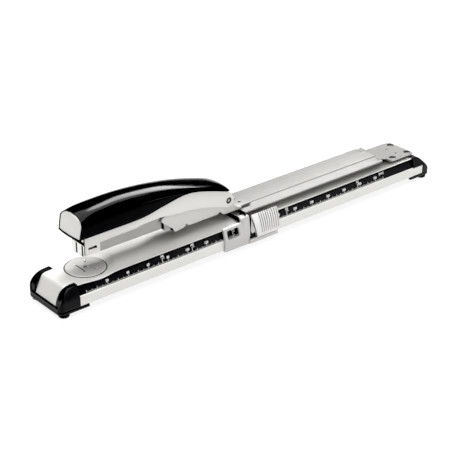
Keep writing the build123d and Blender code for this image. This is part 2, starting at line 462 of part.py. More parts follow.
# ribbed squeeze grip on the ruler side
g_out = [(-26.2, 8.6), (-26.3, 12.5), (-25.6, 17.5), (-24.2, 22.5), (-22.2, 26.6), (-20.9, 28.4)]
g_in = [(-19.9, 28.3), (-20.9, 25.0), (-22.4, 21.0), (-24.1, 15.6), (-25.0, 11.5), (-25.1, 8.6)]
g_sec = face_of([g_out, [g_out[-1], g_in[0]], g_in, [g_in[-1], g_out[0]]], "yz")
grip = ext(g_sec, "yz", 169.2, GRIP_X1)
for k in range(9):
    x = 176.4 + 2.35 * k
    rib = ext(face_of([g_out, [g_out[-1], (-21.6, 30)], [(-21.6, 30), (-29, 30)], [(-29, 30), (-29, 8.6)], [(-29, 8.6), g_out[0]]], "yz"), "yz", x, x + 0.8)
    grip -= rib.moved(Location((0, 0.35, 0)))
keep("stop_grip", grip)
keep("grip_spring", box(STOP_X1 + 1.6, 186.0, -22.9, -22.6, 15.9, 17.9))
keep("stop_brake_pad", box(184, 192, -25.0, -24.5, 9.0, 11.2))

print("nodes", len(NODES))
xs = [b for n in NODES.values() for s in n for b in [s.bounding_box()]]
print("bbox", min(b.min.X for b in xs), max(b.max.X for b in xs), min(b.min.Y for b in xs), max(b.max.Y for b in xs),
      min(b.min.Z for b in xs), max(b.max.Z for b in xs))
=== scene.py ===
import bpy, bmesh, math
import numpy as np
from mathutils import Vector, Matrix


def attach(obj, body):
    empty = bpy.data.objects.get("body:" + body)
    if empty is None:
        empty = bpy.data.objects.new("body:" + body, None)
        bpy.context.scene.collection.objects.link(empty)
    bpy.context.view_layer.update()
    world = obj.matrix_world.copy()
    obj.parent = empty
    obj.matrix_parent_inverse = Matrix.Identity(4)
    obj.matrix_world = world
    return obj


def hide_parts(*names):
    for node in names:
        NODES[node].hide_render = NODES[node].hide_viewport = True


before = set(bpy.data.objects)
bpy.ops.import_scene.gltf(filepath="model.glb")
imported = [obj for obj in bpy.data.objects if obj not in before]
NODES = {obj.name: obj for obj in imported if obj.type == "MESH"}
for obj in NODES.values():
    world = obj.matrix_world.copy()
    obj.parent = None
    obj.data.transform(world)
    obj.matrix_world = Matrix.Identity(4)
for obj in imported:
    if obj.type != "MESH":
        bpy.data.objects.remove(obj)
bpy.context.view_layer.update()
XC = 183.5                      # lengths along X are given on the ruler's scale, in mm
SC = bpy.context.scene


def P(x, y, z):
    return Vector(((x - XC) / 1000.0, y / 1000.0, z / 1000.0))


# ------------------------------------------------------------------ materials
def new_mat(name):
    m = bpy.data.materials.new(name)
    m.use_nodes = True
    nt = m.node_tree
    nt.nodes.clear()
    out = nt.nodes.new("ShaderNodeOutputMaterial")
    b = nt.nodes.new("ShaderNodeBsdfPrincipled")
    nt.links.new(b.outputs[0], out.inputs[0])
    return m, nt, b


def surface(name, col, rough, metal=0.0, spec=None, coat=0.0, coat_rough=0.08, var=0.04, var_scale=60.0,
            rvar=0.05, grain=0.0, grain_scale=4000.0, brushed=None, specks=None, aniso=0.0, ior=None):
    """Painted, metal or moulded surface: slow colour drift, finer roughness drift, and a fine grain
    that is bumped. brushed=(axis, amount) stretches the grain along one axis."""
    m, nt, b = new_mat(name)
    N, L = nt.nodes, nt.links
    tc = N.new("ShaderNodeTexCoord")
    mp = N.new("ShaderNodeMapping")
    L.new(tc.outputs["Object"], mp.inputs["Vector"])
    fine = mp
    if brushed:
        fine = N.new("ShaderNodeMapping")
        L.new(tc.outputs["Object"], fine.inputs["Vector"])
        s = [1.0, 1.0, 1.0]
        s["xyz".index(brushed[0])] = brushed[1]
        fine.inputs["Scale"].default_value = s
    # slow drift of the colour
    n1 = N.new("ShaderNodeTexNoise")
    n1.inputs["Scale"].default_value = var_scale
    n1.inputs["Detail"].default_value = 4.0
    L.new(mp.outputs[0], n1.inputs["Vector"])
    r1 = N.new("ShaderNodeMapRange")
    r1.inputs["From Min"].default_value, r1.inputs["From Max"].default_value = 0.3, 0.7
    r1.inputs["To Min"].default_value, r1.inputs["To Max"].default_value = 1.0 - var, 1.0 + var
    L.new(n1.outputs[0], r1.inputs["Value"])
    # fine grain
    n2 = N.new("ShaderNodeTexNoise")
    n2.inputs["Scale"].default_value = grain_scale
    n2.inputs["Detail"].default_value = 2.0
    n2.inputs["Roughness"].default_value = 0.6
    L.new(fine.outputs[0], n2.inputs["Vector"])
    rgb = N.new("ShaderNodeRGB")
    rgb.outputs[0].default_value = (*col, 1.0)
    mul = N.new("ShaderNodeVectorMath")
    mul.operation = "SCALE"
    L.new(rgb.outputs[0], mul.inputs[0])
    tone = r1.outputs[0]
    if specks:
        rs = N.new("ShaderNodeMapRange")
        rs.inputs["From Min"].default_value, rs.inputs["From Max"].default_value = 0.35, 0.65
        rs.inputs["To Min"].default_value, rs.inputs["To Max"].default_value = 1.0 - specks, 1.0 + specks
        L.new(n2.outputs[0], rs.inputs["Value"])
        mm = N.new("ShaderNodeMath")
        mm.operation = "MULTIPLY"
        L.new(r1.outputs[0], mm.inputs[0])
        L.new(rs.outputs[0], mm.inputs[1])
        tone = mm.outputs[0]
    L.new(tone, mul.inputs["Scale"])
    L.new(mul.outputs[0], b.inputs["Base Color"])
    # roughness drift: fingerprints and handling
    n3 = N.new("ShaderNodeTexNoise")
    n3.inputs["Scale"].default_value = var_scale * 2.7
    n3.inputs["Detail"].default_value = 6.0
    n3.inputs["Roughness"].default_value = 0.65
    L.new(mp.outputs[0], n3.inputs["Vector"])
    r3 = N.new("ShaderNodeMapRange")
    r3.inputs["From Min"].default_value, r3.inputs["From Max"].default_value = 0.3, 0.7
    r3.inputs["To Min"].default_value, r3.inputs["To Max"].default_value = max(0.02, rough - rvar), rough + rvar
    L.new(n3.outputs[0], r3.inputs["Value"])
    L.new(r3.outputs[0], b.inputs["Roughness"])
    b.inputs["Metallic"].default_value = metal
    if spec is not None:
        b.inputs["Specular IOR Level"].default_value = spec
    if ior is not None:
        b.inputs["IOR"].default_value = ior
    if coat:
        b.inputs["Coat Weight"].default_value = coat
        b.inputs["Coat Roughness"].default_value = coat_rough
    if aniso:
        b.inputs["Anisotropic"].default_value = aniso
    if grain:
        bp = N.new("ShaderNodeBump")
        bp.inputs["Strength"].default_value = grain
        bp.inputs["Distance"].default_value = 0.00012
        L.new(n2.outputs[0], bp.inputs["Height"])
        L.new(bp.outputs[0], b.inputs["Normal"])
    return m


M = {
    "silver": surface("silver_paint", (0.74, 0.732, 0.708), 0.42, metal=0.25, spec=0.4, coat=0.0, coat_rough=0.12,
                      var=0.02, var_scale=35, rvar=0.04, grain=0.10, grain_scale=5200, specks=0.05),
    "alu": surface("arm_aluminium", (0.262, 0.259, 0.251), 0.52, metal=0.30, spec=0.3, coat=0.0, coat_rough=0.15,
                   var=0.02, var_scale=25, rvar=0.05, grain=0.12, grain_scale=2600, brushed=("x", 0.03), specks=0.04),
    "bracket": surface("bracket_paint", (0.62, 0.613, 0.594), 0.44, metal=0.25, spec=0.4, var=0.02, var_scale=35, rvar=0.04,
                       grain=0.10, grain_scale=5200, specks=0.05),
    "grip": surface("grip_plastic", (0.76, 0.752, 0.735), 0.36, metal=0.10, spec=0.4, var=0.02, var_scale=60, rvar=0.05,
                    grain=0.12, grain_scale=4200, specks=0.03),
    "plate": surface("plate_grey", (0.200, 0.197, 0.190), 0.55, metal=0.3, spec=0.3, var=0.04, var_scale=90, rvar=0.06,
                     grain=0.35, grain_scale=2300, specks=0.14),
    "black": surface("black_plastic", (0.007, 0.007, 0.008), 0.34, spec=0.3, var=0.15, var_scale=50, rvar=0.05,
                     grain=0.25, grain_scale=3300),
    "gloss": surface("gloss_black", (0.003, 0.003, 0.0034), 0.17, spec=0.20, coat=0.0, coat_rough=0.05, var=0.1,
                     var_scale=30, rvar=0.03, grain=0.02, grain_scale=700),
    "scale": surface("scale_black", (0.007, 0.007, 0.0078), 0.42, spec=0.3, var=0.12, var_scale=70, rvar=0.05,
                     grain=0.15, grain_scale=3000),
    "print": surface("scale_print", (0.80, 0.80, 0.78), 0.55, spec=0.3, var=0.05, var_scale=300, rvar=0.05,
                     grain=0.1, grain_scale=6000),
    "steel": surface("steel", (0.36, 0.355, 0.344), 0.40, metal=0.8, var=0.03, var_scale=60, rvar=0.04, grain=0.05,
                     grain_scale=2400, brushed=("x", 0.08), specks=0.03),
    "anvil": surface("anvil_steel", (0.66, 0.65, 0.63), 0.36, metal=0.30, var=0.04, var_scale=120, rvar=0.07,
                     grain=0.35, grain_scale=2600, specks=0.10),
    "spring": surface("spring_steel", (0.36, 0.355, 0.35), 0.26, metal=1.0, var=0.05, var_scale=150, rvar=0.06,
                      grain=0.1, grain_scale=3000),
    "chrome": surface("chrome", (0.72, 0.72, 0.71), 0.12, metal=1.0, var=0.02, var_scale=100, rvar=0.04, grain=0.03,
                      grain_scale=1500),
    "darksteel": surface("dark_steel", (0.030, 0.030, 0.032), 0.28, metal=0.6, spec=0.5, var=0.1, var_scale=200, rvar=0.08,
                         grain=0.1, grain_scale=3000),
    "splastic": surface("silver_plastic", (0.54, 0.534, 0.52), 0.40, metal=0.25, coat=0.0, coat_rough=0.15, var=0.02,
                        var_scale=60, rvar=0.05, grain=0.15, grain_scale=4200, specks=0.04),
    "rubber": surface("rubber", (0.010, 0.010, 0.011), 0.62, spec=0.35, var=0.15, var_scale=100, rvar=0.06, grain=0.4,
                      grain_scale=2200),
}


def clear_mat():
    m, nt, b = new_mat("clear_window")
    N, L = nt.nodes, nt.links
    tc = N.new("ShaderNodeTexCoord")
    n = N.new("ShaderNodeTexNoise")
    n.inputs["Scale"].default_value = 220
    L.new(tc.outputs["Object"], n.inputs["Vector"])
    r = N.new("ShaderNodeMapRange")
    r.inputs["To Min"].default_value, r.inputs["To Max"].default_value = 0.03, 0.09
    L.new(n.outputs[0], r.inputs["Value"])
    L.new(r.outputs[0], b.inputs["Roughness"])
    b.inputs["Base Color"].default_value = (0.93, 0.95, 0.95, 1)
    b.inputs["IOR"].default_value = 1.06
    b.inputs["Transmission Weight"].default_value = 1.0
    return m


M["clear"] = clear_mat()

BY_NODE = {
    "base_cover": "silver", "magazine_housing": "silver", "head_bracket": "silver", "nose_cap": "silver",
    "latch_carrier": "steel", "base_floor_plate": "steel", "arm_mount_block": "steel", "mount_shim": "steel",
    "anvil_disc": "anvil", "anvil_shaft": "anvil", "anvil_spring": "spring", "anvil_knob": "black",
    "long_arm": "alu", "arm_screws": "darksteel", "arm_rivets": "darksteel", "bracket_rivets": "steel",
    "pivot_pin": "darksteel", "head_return_spring": "spring", "housing_guide_pins": "darksteel", "latch_pin": "steel",
    "handle_return_spring": "spring", "staple_tray": "steel", "nose_plate": "chrome", "staple_rail": "steel",
    "guide_rod": "steel", "staple_strip": "chrome", "pusher": "black", "pusher_spring": "spring",
    "release_latch": "black", "latch_spring": "spring", "handle_cover": "gloss", "handle_lever": "steel",
    "driver_blade": "chrome", "blade_rivets": "steel", "stop_body": "splastic", "stop_window": "clear",
    "stop_grip": "splastic", "grip_spring": "spring", "stop_brake_pad": "rubber", "front_end_cap": "black",
    "rear_end_cap": "black", "rubber_feet": "rubber", "ruler_strip_near": "scale", "ruler_strip_far": "scale",
}
for n, o in NODES.items():
    m = M[BY_NODE[n]]
    if len(o.material_slots) == 0:
        o.data.materials.append(m)
    for s in o.material_slots:
        s.material = m


# ------------------------------------------------------------------- mesh kit
def obj_from(name, verts, faces, mm=True):
    me = bpy.data.meshes.new(name)
    me.from_pydata([P(*v) for v in verts] if mm else verts, [], faces)
    me.validate()
    o = bpy.data.objects.new(name, me)
    SC.collection.objects.link(o)
    clean(o)
    return o


def clean(o, merge=0.000002):
    bm = bmesh.new()
    bm.from_mesh(o.data)
    bmesh.ops.remove_doubles(bm, verts=bm.verts, dist=merge)
    bmesh.ops.dissolve_degenerate(bm, edges=bm.edges, dist=0.0000005)
    loose = [v for v in bm.verts if not v.link_faces]
    bmesh.ops.delete(bm, geom=loose, context="VERTS")
    bmesh.ops.recalc_face_normals(bm, faces=bm.faces)
    bm.to_mesh(o.data)
    bm.free()


def apply_mods(o):
    dg = bpy.context.evaluated_depsgraph_get()
    me = bpy.data.meshes.new_from_object(o.evaluated_get(dg))
    old = o.data
    o.modifiers.clear()
    o.data = me
    me.name = o.name
    if old.users == 0:
        bpy.data.meshes.remove(old)
    return o


def bevel(o, mm, segs=3, angle=30, clamp=True):
    m = o.modifiers.new("bevel", "BEVEL")
    m.width = mm / 1000.0
    m.segments = segs
    m.limit_method = "ANGLE"
    m.angle_limit = math.radians(angle)
    m.use_clamp_overlap = clamp
    m.miter_outer = "MITER_ARC"
    return apply_mods(o)


def cut(o, *cutters, op="DIFFERENCE"):
    for c in cutters:
        m = o.modifiers.new("bool", "BOOLEAN")
        m.operation = op
        m.object = c
        m.solver = "EXACT"
        apply_mods(o)
        bpy.data.objects.remove(c)
    clean(o)
    return o


def shade(o, angle=38):
    me = o.data
    bm = bmesh.new()
    bm.from_mesh(me)
    lim = math.radians(angle)
    for f in bm.faces:
        f.smooth = True
    for e_ in bm.edges:
        e_.smooth = not (len(e_.link_faces) == 2 and e_.calc_face_angle(0.0) > lim)
    bm.to_mesh(me)
    bm.free()
    return o


def wnormals(o):
    m = o.modifiers.new("wn", "WEIGHTED_NORMAL")
    m.keep_sharp = True
    m.weight = 60
    return apply_mods(o)


def done(o, mat, body, replaces=(), angle=38, wn=False):
    shade(o, angle)
    if wn:
        wnormals(o)
    o.data.materials.clear()
    o.data.materials.append(M[mat])
    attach(o, body)
    if replaces:
        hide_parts(*replaces)
    return o


def prism(name, pts, plane, a, b):
    """Closed outline extruded across its plane: xz along y, yz along x, xy along z."""
    def v(p, c):
        return (p[0], c, p[1]) if plane == "xz" else (c, p[0], p[1]) if plane == "yz" else (p[0], p[1], c)
    n = len(pts)
    verts = [v(p, a) for p in pts] + [v(p, b) for p in pts]
    faces = [list(range(n))[::-1], list(range(n, 2 * n))] + [[i, (i + 1) % n, n + (i + 1) % n, n + i] for i in range(n)]
    return obj_from(name, verts, faces)


def cyl(name, axis, r, c, a, b, n=40):
    pts = [(c[0] + r * math.cos(2 * math.pi * k / n), c[1] + r * math.sin(2 * math.pi * k / n)) for k in range(n)]
    return prism(name, pts, {"z": "xy", "y": "xz", "x": "yz"}[axis], a, b)


def lathe(name, prof, c, axis="z", n=96):
    """Profile of (radius, height) turned round an axis through c; closed at both ends on the axis when r is 0."""
    verts, faces = [], []
    rings = []
    for r_, h in prof:
        if r_ < 1e-6:
            rings.append([len(verts)])
            verts.append((c[0], c[1], h) if axis == "z" else (c[0], h, c[1]) if axis == "y" else (h, c[0], c[1]))
        else:
            ring = []
            for k in range(n):
                t = 2 * math.pi * k / n
                u, w_ = c[0] + r_ * math.cos(t), c[1] + r_ * math.sin(t)
                ring.append(len(verts))
                verts.append((u, w_, h) if axis == "z" else (u, h, w_) if axis == "y" else (h, u, w_))
            rings.append(ring)
    for A, B in zip(rings, rings[1:]):
        if len(A) == 1 and len(B) == 1:
            continue
        for k in range(n):
            k2 = (k + 1) % n
            if len(A) == 1:
                faces.append([A[0], B[k2], B[k]])
            elif len(B) == 1:
                faces.append([A[k], A[k2], B[0]])
            else:
                faces.append([A[k], A[k2], B[k2], B[k]])
    return obj_from(name, verts, faces)


def loft(name, rows, close_v=False, cap=True):
    """Rows of equal length joined by quads; close_v joins each row's ends, cap fills the first and last row."""
    m, n = len(rows), len(rows[0])
    verts = [p for row in rows for p in row]
    faces = []
    for i in range(m - 1):
        for j in range(n if close_v else n - 1):
            j2 = (j + 1) % n
            faces.append([i * n + j, i * n + j2, (i + 1) * n + j2, (i + 1) * n + j])
    if cap and close_v:
        faces.append(list(range(n))[::-1])
        faces.append(list(range((m - 1) * n, m * n)))
    return obj_from(name, verts, faces)


def solidify(o, mm, offset=-1.0):
    m = o.modifiers.new("solid", "SOLIDIFY")
    m.thickness = mm / 1000.0
    m.offset = offset
    m.use_even_offset = True
    m.use_quality_normals = True
    return apply_mods(o)


def cubic(tab):
    """Natural cubic spline through a table of (x, y)."""
    xs = np.array([p[0] for p in tab], float)
    ys = np.array([p[1] for p in tab], float)
    n = len(xs)
    h = np.diff(xs)
    A = np.eye(n)
    rhs = np.zeros(n)
    for i in range(1, n - 1):
        A[i, i - 1], A[i, i], A[i, i + 1] = h[i - 1], 2 * (h[i - 1] + h[i]), h[i]
        rhs[i] = 6 * ((ys[i + 1] - ys[i]) / h[i] - (ys[i] - ys[i - 1]) / h[i - 1])
    m2 = np.linalg.solve(A, rhs)

    def f(x):
        x = min(max(x, xs[0]), xs[-1])
        i = min(max(int(np.searchsorted(xs, x)) - 1, 0), n - 2)
        t, hi = x - xs[i], h[i]
        return float(ys[i] + t * ((ys[i + 1] - ys[i]) / hi - hi * (2 * m2[i] + m2[i + 1]) / 6) + t * t * m2[i] / 2
                     + t ** 3 * (m2[i + 1] - m2[i]) / (6 * hi))
    return f


def lin(tab):
    xs, ys = [p[0] for p in tab], [p[1] for p in tab]
    return lambda x: float(np.interp(x, xs, ys))


def curve2(pts, per=6):
    """Smooth open run through 2D points (Catmull-Rom)."""
    p = [Vector((q[0], q[1])) for q in pts]
    p = [2 * p[0] - p[1]] + p + [2 * p[-1] - p[-2]]
    out = []
    for i in range(1, len(p) - 2):
        for k in range(per):
            t = k / per
            a0, a1, a2, a3 = p[i - 1], p[i], p[i + 1], p[i + 2]
            q = 0.5 * ((2 * a1) + (a2 - a0) * t + (2 * a0 - 5 * a1 + 4 * a2 - a3) * t * t + (3 * a1 - a0 - 3 * a2 + a3) * t ** 3)
            out.append((q.x, q.y))
    out.append((p[-2].x, p[-2].y))
    return out


def fil(pts, closed=True, segs=4):
    """Outline with rounded corners from (x, y, radius) points, always the same number of points."""
    n = len(pts)
    out = []
    for i, q in enumerate(pts):
        r_ = q[2] if len(q) > 2 else 0
        if r_ <= 0 or (not closed and i in (0, n - 1)):
            out.append((q[0], q[1]))
            continue
        a0, b0, c0 = Vector(pts[i - 1][:2]), Vector(q[:2]), Vector(pts[(i + 1) % n][:2])
        u, w_ = (a0 - b0), (c0 - b0)
        lu, lw = u.length, w_.length
        u.normalize()
        w_.normalize()
        half = 0.5 * u.angle(w_, math.pi)
        d = min(r_ / max(math.tan(half), 1e-3), 0.49 * lu, 0.49 * lw)
        s0, s1 = b0 + u * d, b0 + w_ * d
        for k in range(segs + 1):
            t = k / segs
            q2 = (1 - t) ** 2 * s0 + 2 * t * (1 - t) * b0 + t * t * s1
            out.append((q2.x, q2.y))
    return out


def sstep(t):
    t = min(max(t, 0.0), 1.0)
    return t * t * (3 - 2 * t)


def join(name, objs):
    verts, faces, off = [], [], 0
    me = bpy.data.meshes.new(name)
    for o in objs:
        verts += [v.co.copy() for v in o.data.vertices]
        faces += [[off + i for i in p.vertices] for p in o.data.polygons]
        off += len(o.data.vertices)
        bpy.data.objects.remove(o)
    me.from_pydata(verts, [], faces)
    o = bpy.data.objects.new(name, me)
    SC.collection.objects.link(o)
    return o


# ------------------------------------------------------- base: sheet cover
HUMP = cubic([(-24, 23.2), (-19.6, 23.30), (-17, 23.38), (-12, 24.25), (-6, 24.86), (0, 25.0), (6, 24.86), (12, 24.25), (17, 23.38),
              (19.6, 23.30), (24, 23.2)])
LIP_W = cubic([(-10, 19.6), (0, 19.75), (8, 20.2), (15, 20.4), (21, 20.2), (28, 19.7), (34, 19.5), (60, 19.5), (370, 19.5)])
LIP_Z = cubic([(-10, 22.75), (-2, 22.75), (3, 22.35), (10, 21.85), (17, 21.65), (23, 22.1), (28, 22.6), (34, 22.75), (60, 22.75),
               (370, 22.75)])


def roof_z(x, y):
    r_ = math.hypot(x - 14.1, y * 0.93)
    s_ = sstep((r_ - 18.6) / 7.0) if x > 14.1 else 0.0
    return 23.6 * (1 - s_) + HUMP(y) * s_


def base_row(x):
    w_, zl = LIP_W(x), LIP_Z(x)
    zt = roof_z(x, w_)
    near = fil([(23.0, 6.3, 0), (23.0, 14.25, 0.55), (21.95, 14.86, 0.12), (21.2, 15.0, 0.1), (18.5, 22.3, 0.1), (w_ - 0.5, zl - 0.25, 0.1),
                (w_ + 0.05, zl, 0.18), (w_ - 0.05, zt, 0.35), (w_ - 1.2, roof_z(x, w_ - 1.2) + 0.02, 0)], closed=False, segs=3)
    row = [(x, -p[0], p[1]) for p in near]
    yy = np.linspace(-(w_ - 1.5), w_ - 1.5, 41)
    row += [(x, float(y), roof_z(x, float(y))) for y in yy]
    row += [(x, p[0], p[1]) for p in reversed(near)]
    return row


xs = [-6.9] + [x for x in np.arange(-6.0, 42.0, 0.75)] + [45, 50, 60, 80, 110, 150, 190, 230, 270, 310, 340, 350, 360, 369.9]
cover = loft("base_cover_sheet", [base_row(float(x)) for x in xs], cap=False)
solidify(cover, 1.2)
# recess for the anvil disc, and screw holes
hole = lathe("c1", [(0, 22.75), (16.95, 22.75), (16.95, 23.35), (17.5, 23.9), (17.5, 30), (0, 30)], (14.1, 0), n=128)
cut(cover, hole)
SCREWS = [(352.9, -10.8), (372.6, -10.8), (372.6, 10.8)]
for x_, y_ in SCREWS:
    if x_ < 369:
        cut(cover, cyl("c", "z", 1.7, (x_, y_), 18, 30))
done(cover, "silver", "base", ["base_cover"], angle=32)


# folded-down nose and tail panels
def strap(name, path, half, thick, rnd=0.5):
    """Sheet that follows a path of (x, z), level across, with rounded long edges."""
    rows = []
    yy = [-half, -half + 0.12, -half + rnd] + list(np.linspace(-half + 1.5, half - 1.5, 15)) + [half - rnd, half - 0.12, half]
    for i, (x, z) in enumerate(path):
        a0, b0 = path[max(i - 1, 0)], path[min(i + 1, len(path) - 1)]
        t = Vector((b0[0] - a0[0], b0[1] - a0[1])).normalized()
        nx, nz = -t.y, t.x
        if nz < 0 or (abs(nz) < 1e-6 and nx > 0):
            nx, nz = -nx, -nz
        row = []
        for y in yy:
            e_ = max(0.0, abs(y) - (half - rnd)) / rnd
            d = -0.35 * e_ * e_
            row.append((x + nx * d, y, z + nz * d))
        rows.append(row)
    o = loft(name, rows, cap=False)
    return solidify(o, thick)


def arc_path(p0, p1, p2, r_, segs=14):
    return fil([(p0[0], p0[1], 0), (p1[0], p1[1], r_), (p2[0], p2[1], 0)], closed=False, segs=segs)


nose = strap("base_nose_panel", [(-5.8, 23.62), (-8.0, 23.61)] + arc_path((-9.5, 23.6), (-17.1, 23.1), (-24.15, 9.0), 5.5)[1:], 14.8, 1.2)
done(nose, "silver", "base", [], angle=40)
tail = strap("base_tail_panel", [(368.5, 25.02), (370, 25.0)] + arc_path((371.5, 24.95), (377.6, 24.0), (391.2, 8.7), 4.5)[1:], 14.8, 1.2)
done(tail, "silver", "base", [], angle=40)
# lower sides carry on beside the rear cap
sides = []
for s_ in (-1, 1):
    a0, b0 = sorted((s_ * 21.8, s_ * 23.0))
    sides.append(prism("s", [(369.7, 6.3), (382.6, 6.3), (382.6, 14.2), (369.7, 14.2)], "xz", a0, b0))
side = join("base_rear_sides", sides)
bevel(side, 0.25, 2)
done(side, "silver", "base", [])

# ------------------------------------------------------------- scale strips and print
BN = Vector((0, -7.82, 2.75)).normalized()          # outward normal of the near flank


def band_pt(x, t, s_, lift=0.0):
    """Point on the flank: t from 0 at its lower edge to 1 at its upper edge; s_ -1 near, 1 far."""
    y, z = 22.05 + (19.30 - 22.05) * t, 14.78 + (22.62 - 14.78) * t
    ny, nz = -BN.y, BN.z
    return (x, s_ * (y + ny * lift), z + nz * lift)


for nm, s_ in (("near", -1), ("far", 1)):
    rows = []
    for x in list(np.arange(-6.8, 40, 1.2)) + list(np.arange(40, 369.9, 9.0)) + [369.8]:
        tmax = (LIP_Z(x) + 0.05 - 14.78) / 7.84
        prof = [(0.0, -0.45), (0.0, -0.1), (0.012, 0.0), (0.3, 0.0), (0.6, 0.0), (min(tmax, 0.99) - 0.03, 0.0), (min(tmax, 0.99), -0.05),
                (min(tmax, 0.99), -0.45)]
        rows.append([band_pt(float(x), t, s_, l) for t, l in prof])
    st = loft("scale_strip_" + nm, rows, close_v=True)
    done(st, "scale", "base", ["ruler_strip_" + nm], angle=30)

ink_v, ink_f = [], []


def ink_box(x0, x1, t0, t1, s_):
    lo, hi = 0.002, 0.045
    k = len(ink_v)
    for l in (lo, hi):
        for x, t in ((x0, t0), (x1, t0), (x1, t1), (x0, t1)):
            ink_v.append(band_pt(x, t, s_, l))
    f = [[0, 1, 2, 3], [4, 7, 6, 5], [0, 4, 5, 1], [1, 5, 6, 2], [2, 6, 7, 3], [3, 7, 4, 0]]
    ink_f.extend([[k + i for i in q] for q in f])


MM = 1.0 / 8.31                                   # one millimetre along the flank
for s_ in (-1, 1):
    for x in range(0, 331):
        L = 2.3 if x % 10 == 0 else 1.75 if x % 5 == 0 else 1.15
        w_ = 0.17 if x % 10 == 0 else 0.14
        ink_box(x - w_, x + w_, 0.02, 0.02 + L * MM, s_)
    for x in (74.0, 105.0, 148.5, 210.0, 297.0):
        ink_box(x - 0.22, x + 0.22, 0.02, 0.02 + 4.4 * MM, s_)
        ink_box(x - 0.22, x + 2.6, 0.02 + 4.1 * MM, 0.02 + 4.5 * MM, s_)
ticks = obj_from("scale_ticks", ink_v, ink_f)
done(ticks, "print", "base", [])


def text(name, s, x, t, size, s_, bold=0.0, squeeze=1.0):
    """Raised print on the flank, baseline at t, centred on x."""
    cu = bpy.data.curves.new(name, "FONT")
    cu.body = s
    cu.size = 1.0
    cu.align_x = "CENTER"
    cu.extrude = 0.0
    cu.offset = bold
    cu.resolution_u = 3
    tmp = bpy.data.objects.new(name, cu)
    SC.collection.objects.link(tmp)
    dg = bpy.context.evaluated_depsgraph_get()
    me = bpy.data.meshes.new_from_object(tmp.evaluated_get(dg))
    bpy.data.objects.remove(tmp)
    bpy.data.curves.remove(cu)
    bm = bmesh.new()
    bm.from_mesh(me)
    top = [f for f in bm.faces]
    ext_ = bmesh.ops.extrude_face_region(bm, geom=top)
    for v in ext_["geom"]:
        if isinstance(v, bmesh.types.BMVert):
            v.co.z = 1.0
    for v in bm.verts:
        px, py, pz = v.co
        xx = x + (-s_) * 0 + (px * size * squeeze if s_ < 0 else -px * size * squeeze)
        q = band_pt(xx, t + py * size * MM, s_, 0.002 + 0.045 * pz)
        v.co = P(*q)
    bmesh.ops.recalc_face_normals(bm, faces=bm.faces)
    bm.to_mesh(me)
    bm.free()
    o = bpy.data.objects.new(name, me)
    SC.collection.objects.link(o)
    return o


words = []
for s_ in (-1, 1):
    for x in range(20, 321, 20):
        words.append(text("num", str(x), x, 0.36, 2.9, s_, bold=0.035, squeeze=0.92))
    for x, lab in ((74.0, "A6"), (105.0, "A5"), (148.5, "A4"), (210.0, "A3"), (297.0, "A2")):
        words.append(text("fmt", lab, x + 0.6, 0.66, 3.0, s_, bold=0.03, squeeze=0.95))
    words.append(text("unit", "[mm]", 328.5, 0.62, 2.9, s_, bold=0.02, squeeze=0.95))
words = join("scale_numbers", words)
done(words, "print", "base", [])

# ------------------------------------------------------------------- end caps
def cap_outline(x_in, x_out, n_arc=14):
    """Plan outline of a cap from the near wing's inner end, round the end, to the far wing: (x, y, nx, ny)."""
    d = 1 if x_out > x_in else -1
    R, W = 4.8, 23.2
    out = []
    xc, yc = x_out - d * R, W - R
    for x in np.linspace(x_in, xc, 16):
        out.append((float(x), -W, 0.0, -1.0))
    for k in range(1, n_arc + 1):
        t = math.pi / 2 * k / n_arc
        out.append((xc + d * R * math.sin(t), -yc - R * math.cos(t), d * math.sin(t), -math.cos(t)))
    for y in np.linspace(-yc + 0.4, yc - 0.4, 31):
        out.append((x_out, float(y), float(d), 0.0))
    for k in range(0, n_arc):
        t = math.pi / 2 * (1 - k / n_arc)
        out.append((xc + d * R * math.sin(t), yc + R * math.cos(t), d * math.sin(t), math.cos(t)))
    for x in np.linspace(xc, x_in, 16):
        out.append((float(x), W, 0.0, 1.0))
    return out


def lip_ring(name, x_in, x_out):
    """Low rim that runs round the end and under the base's sides."""
    rows = []
    for x, y, nx, ny in cap_outline(x_in, x_out):
        prof = [(1.6, 5.9), (0.55, 5.98), (0.14, 5.8), (0.03, 5.4), (0.01, 4.6), (0.08, 3.8), (0.3, 3.25), (0.8, 3.0), (1.6, 2.98), (3.2, 3.1), (3.2, 5.9)]
        rows.append([(x - nx * i_, y - ny * i_, z) for i_, z in prof])
    return loft(name, rows, close_v=True)


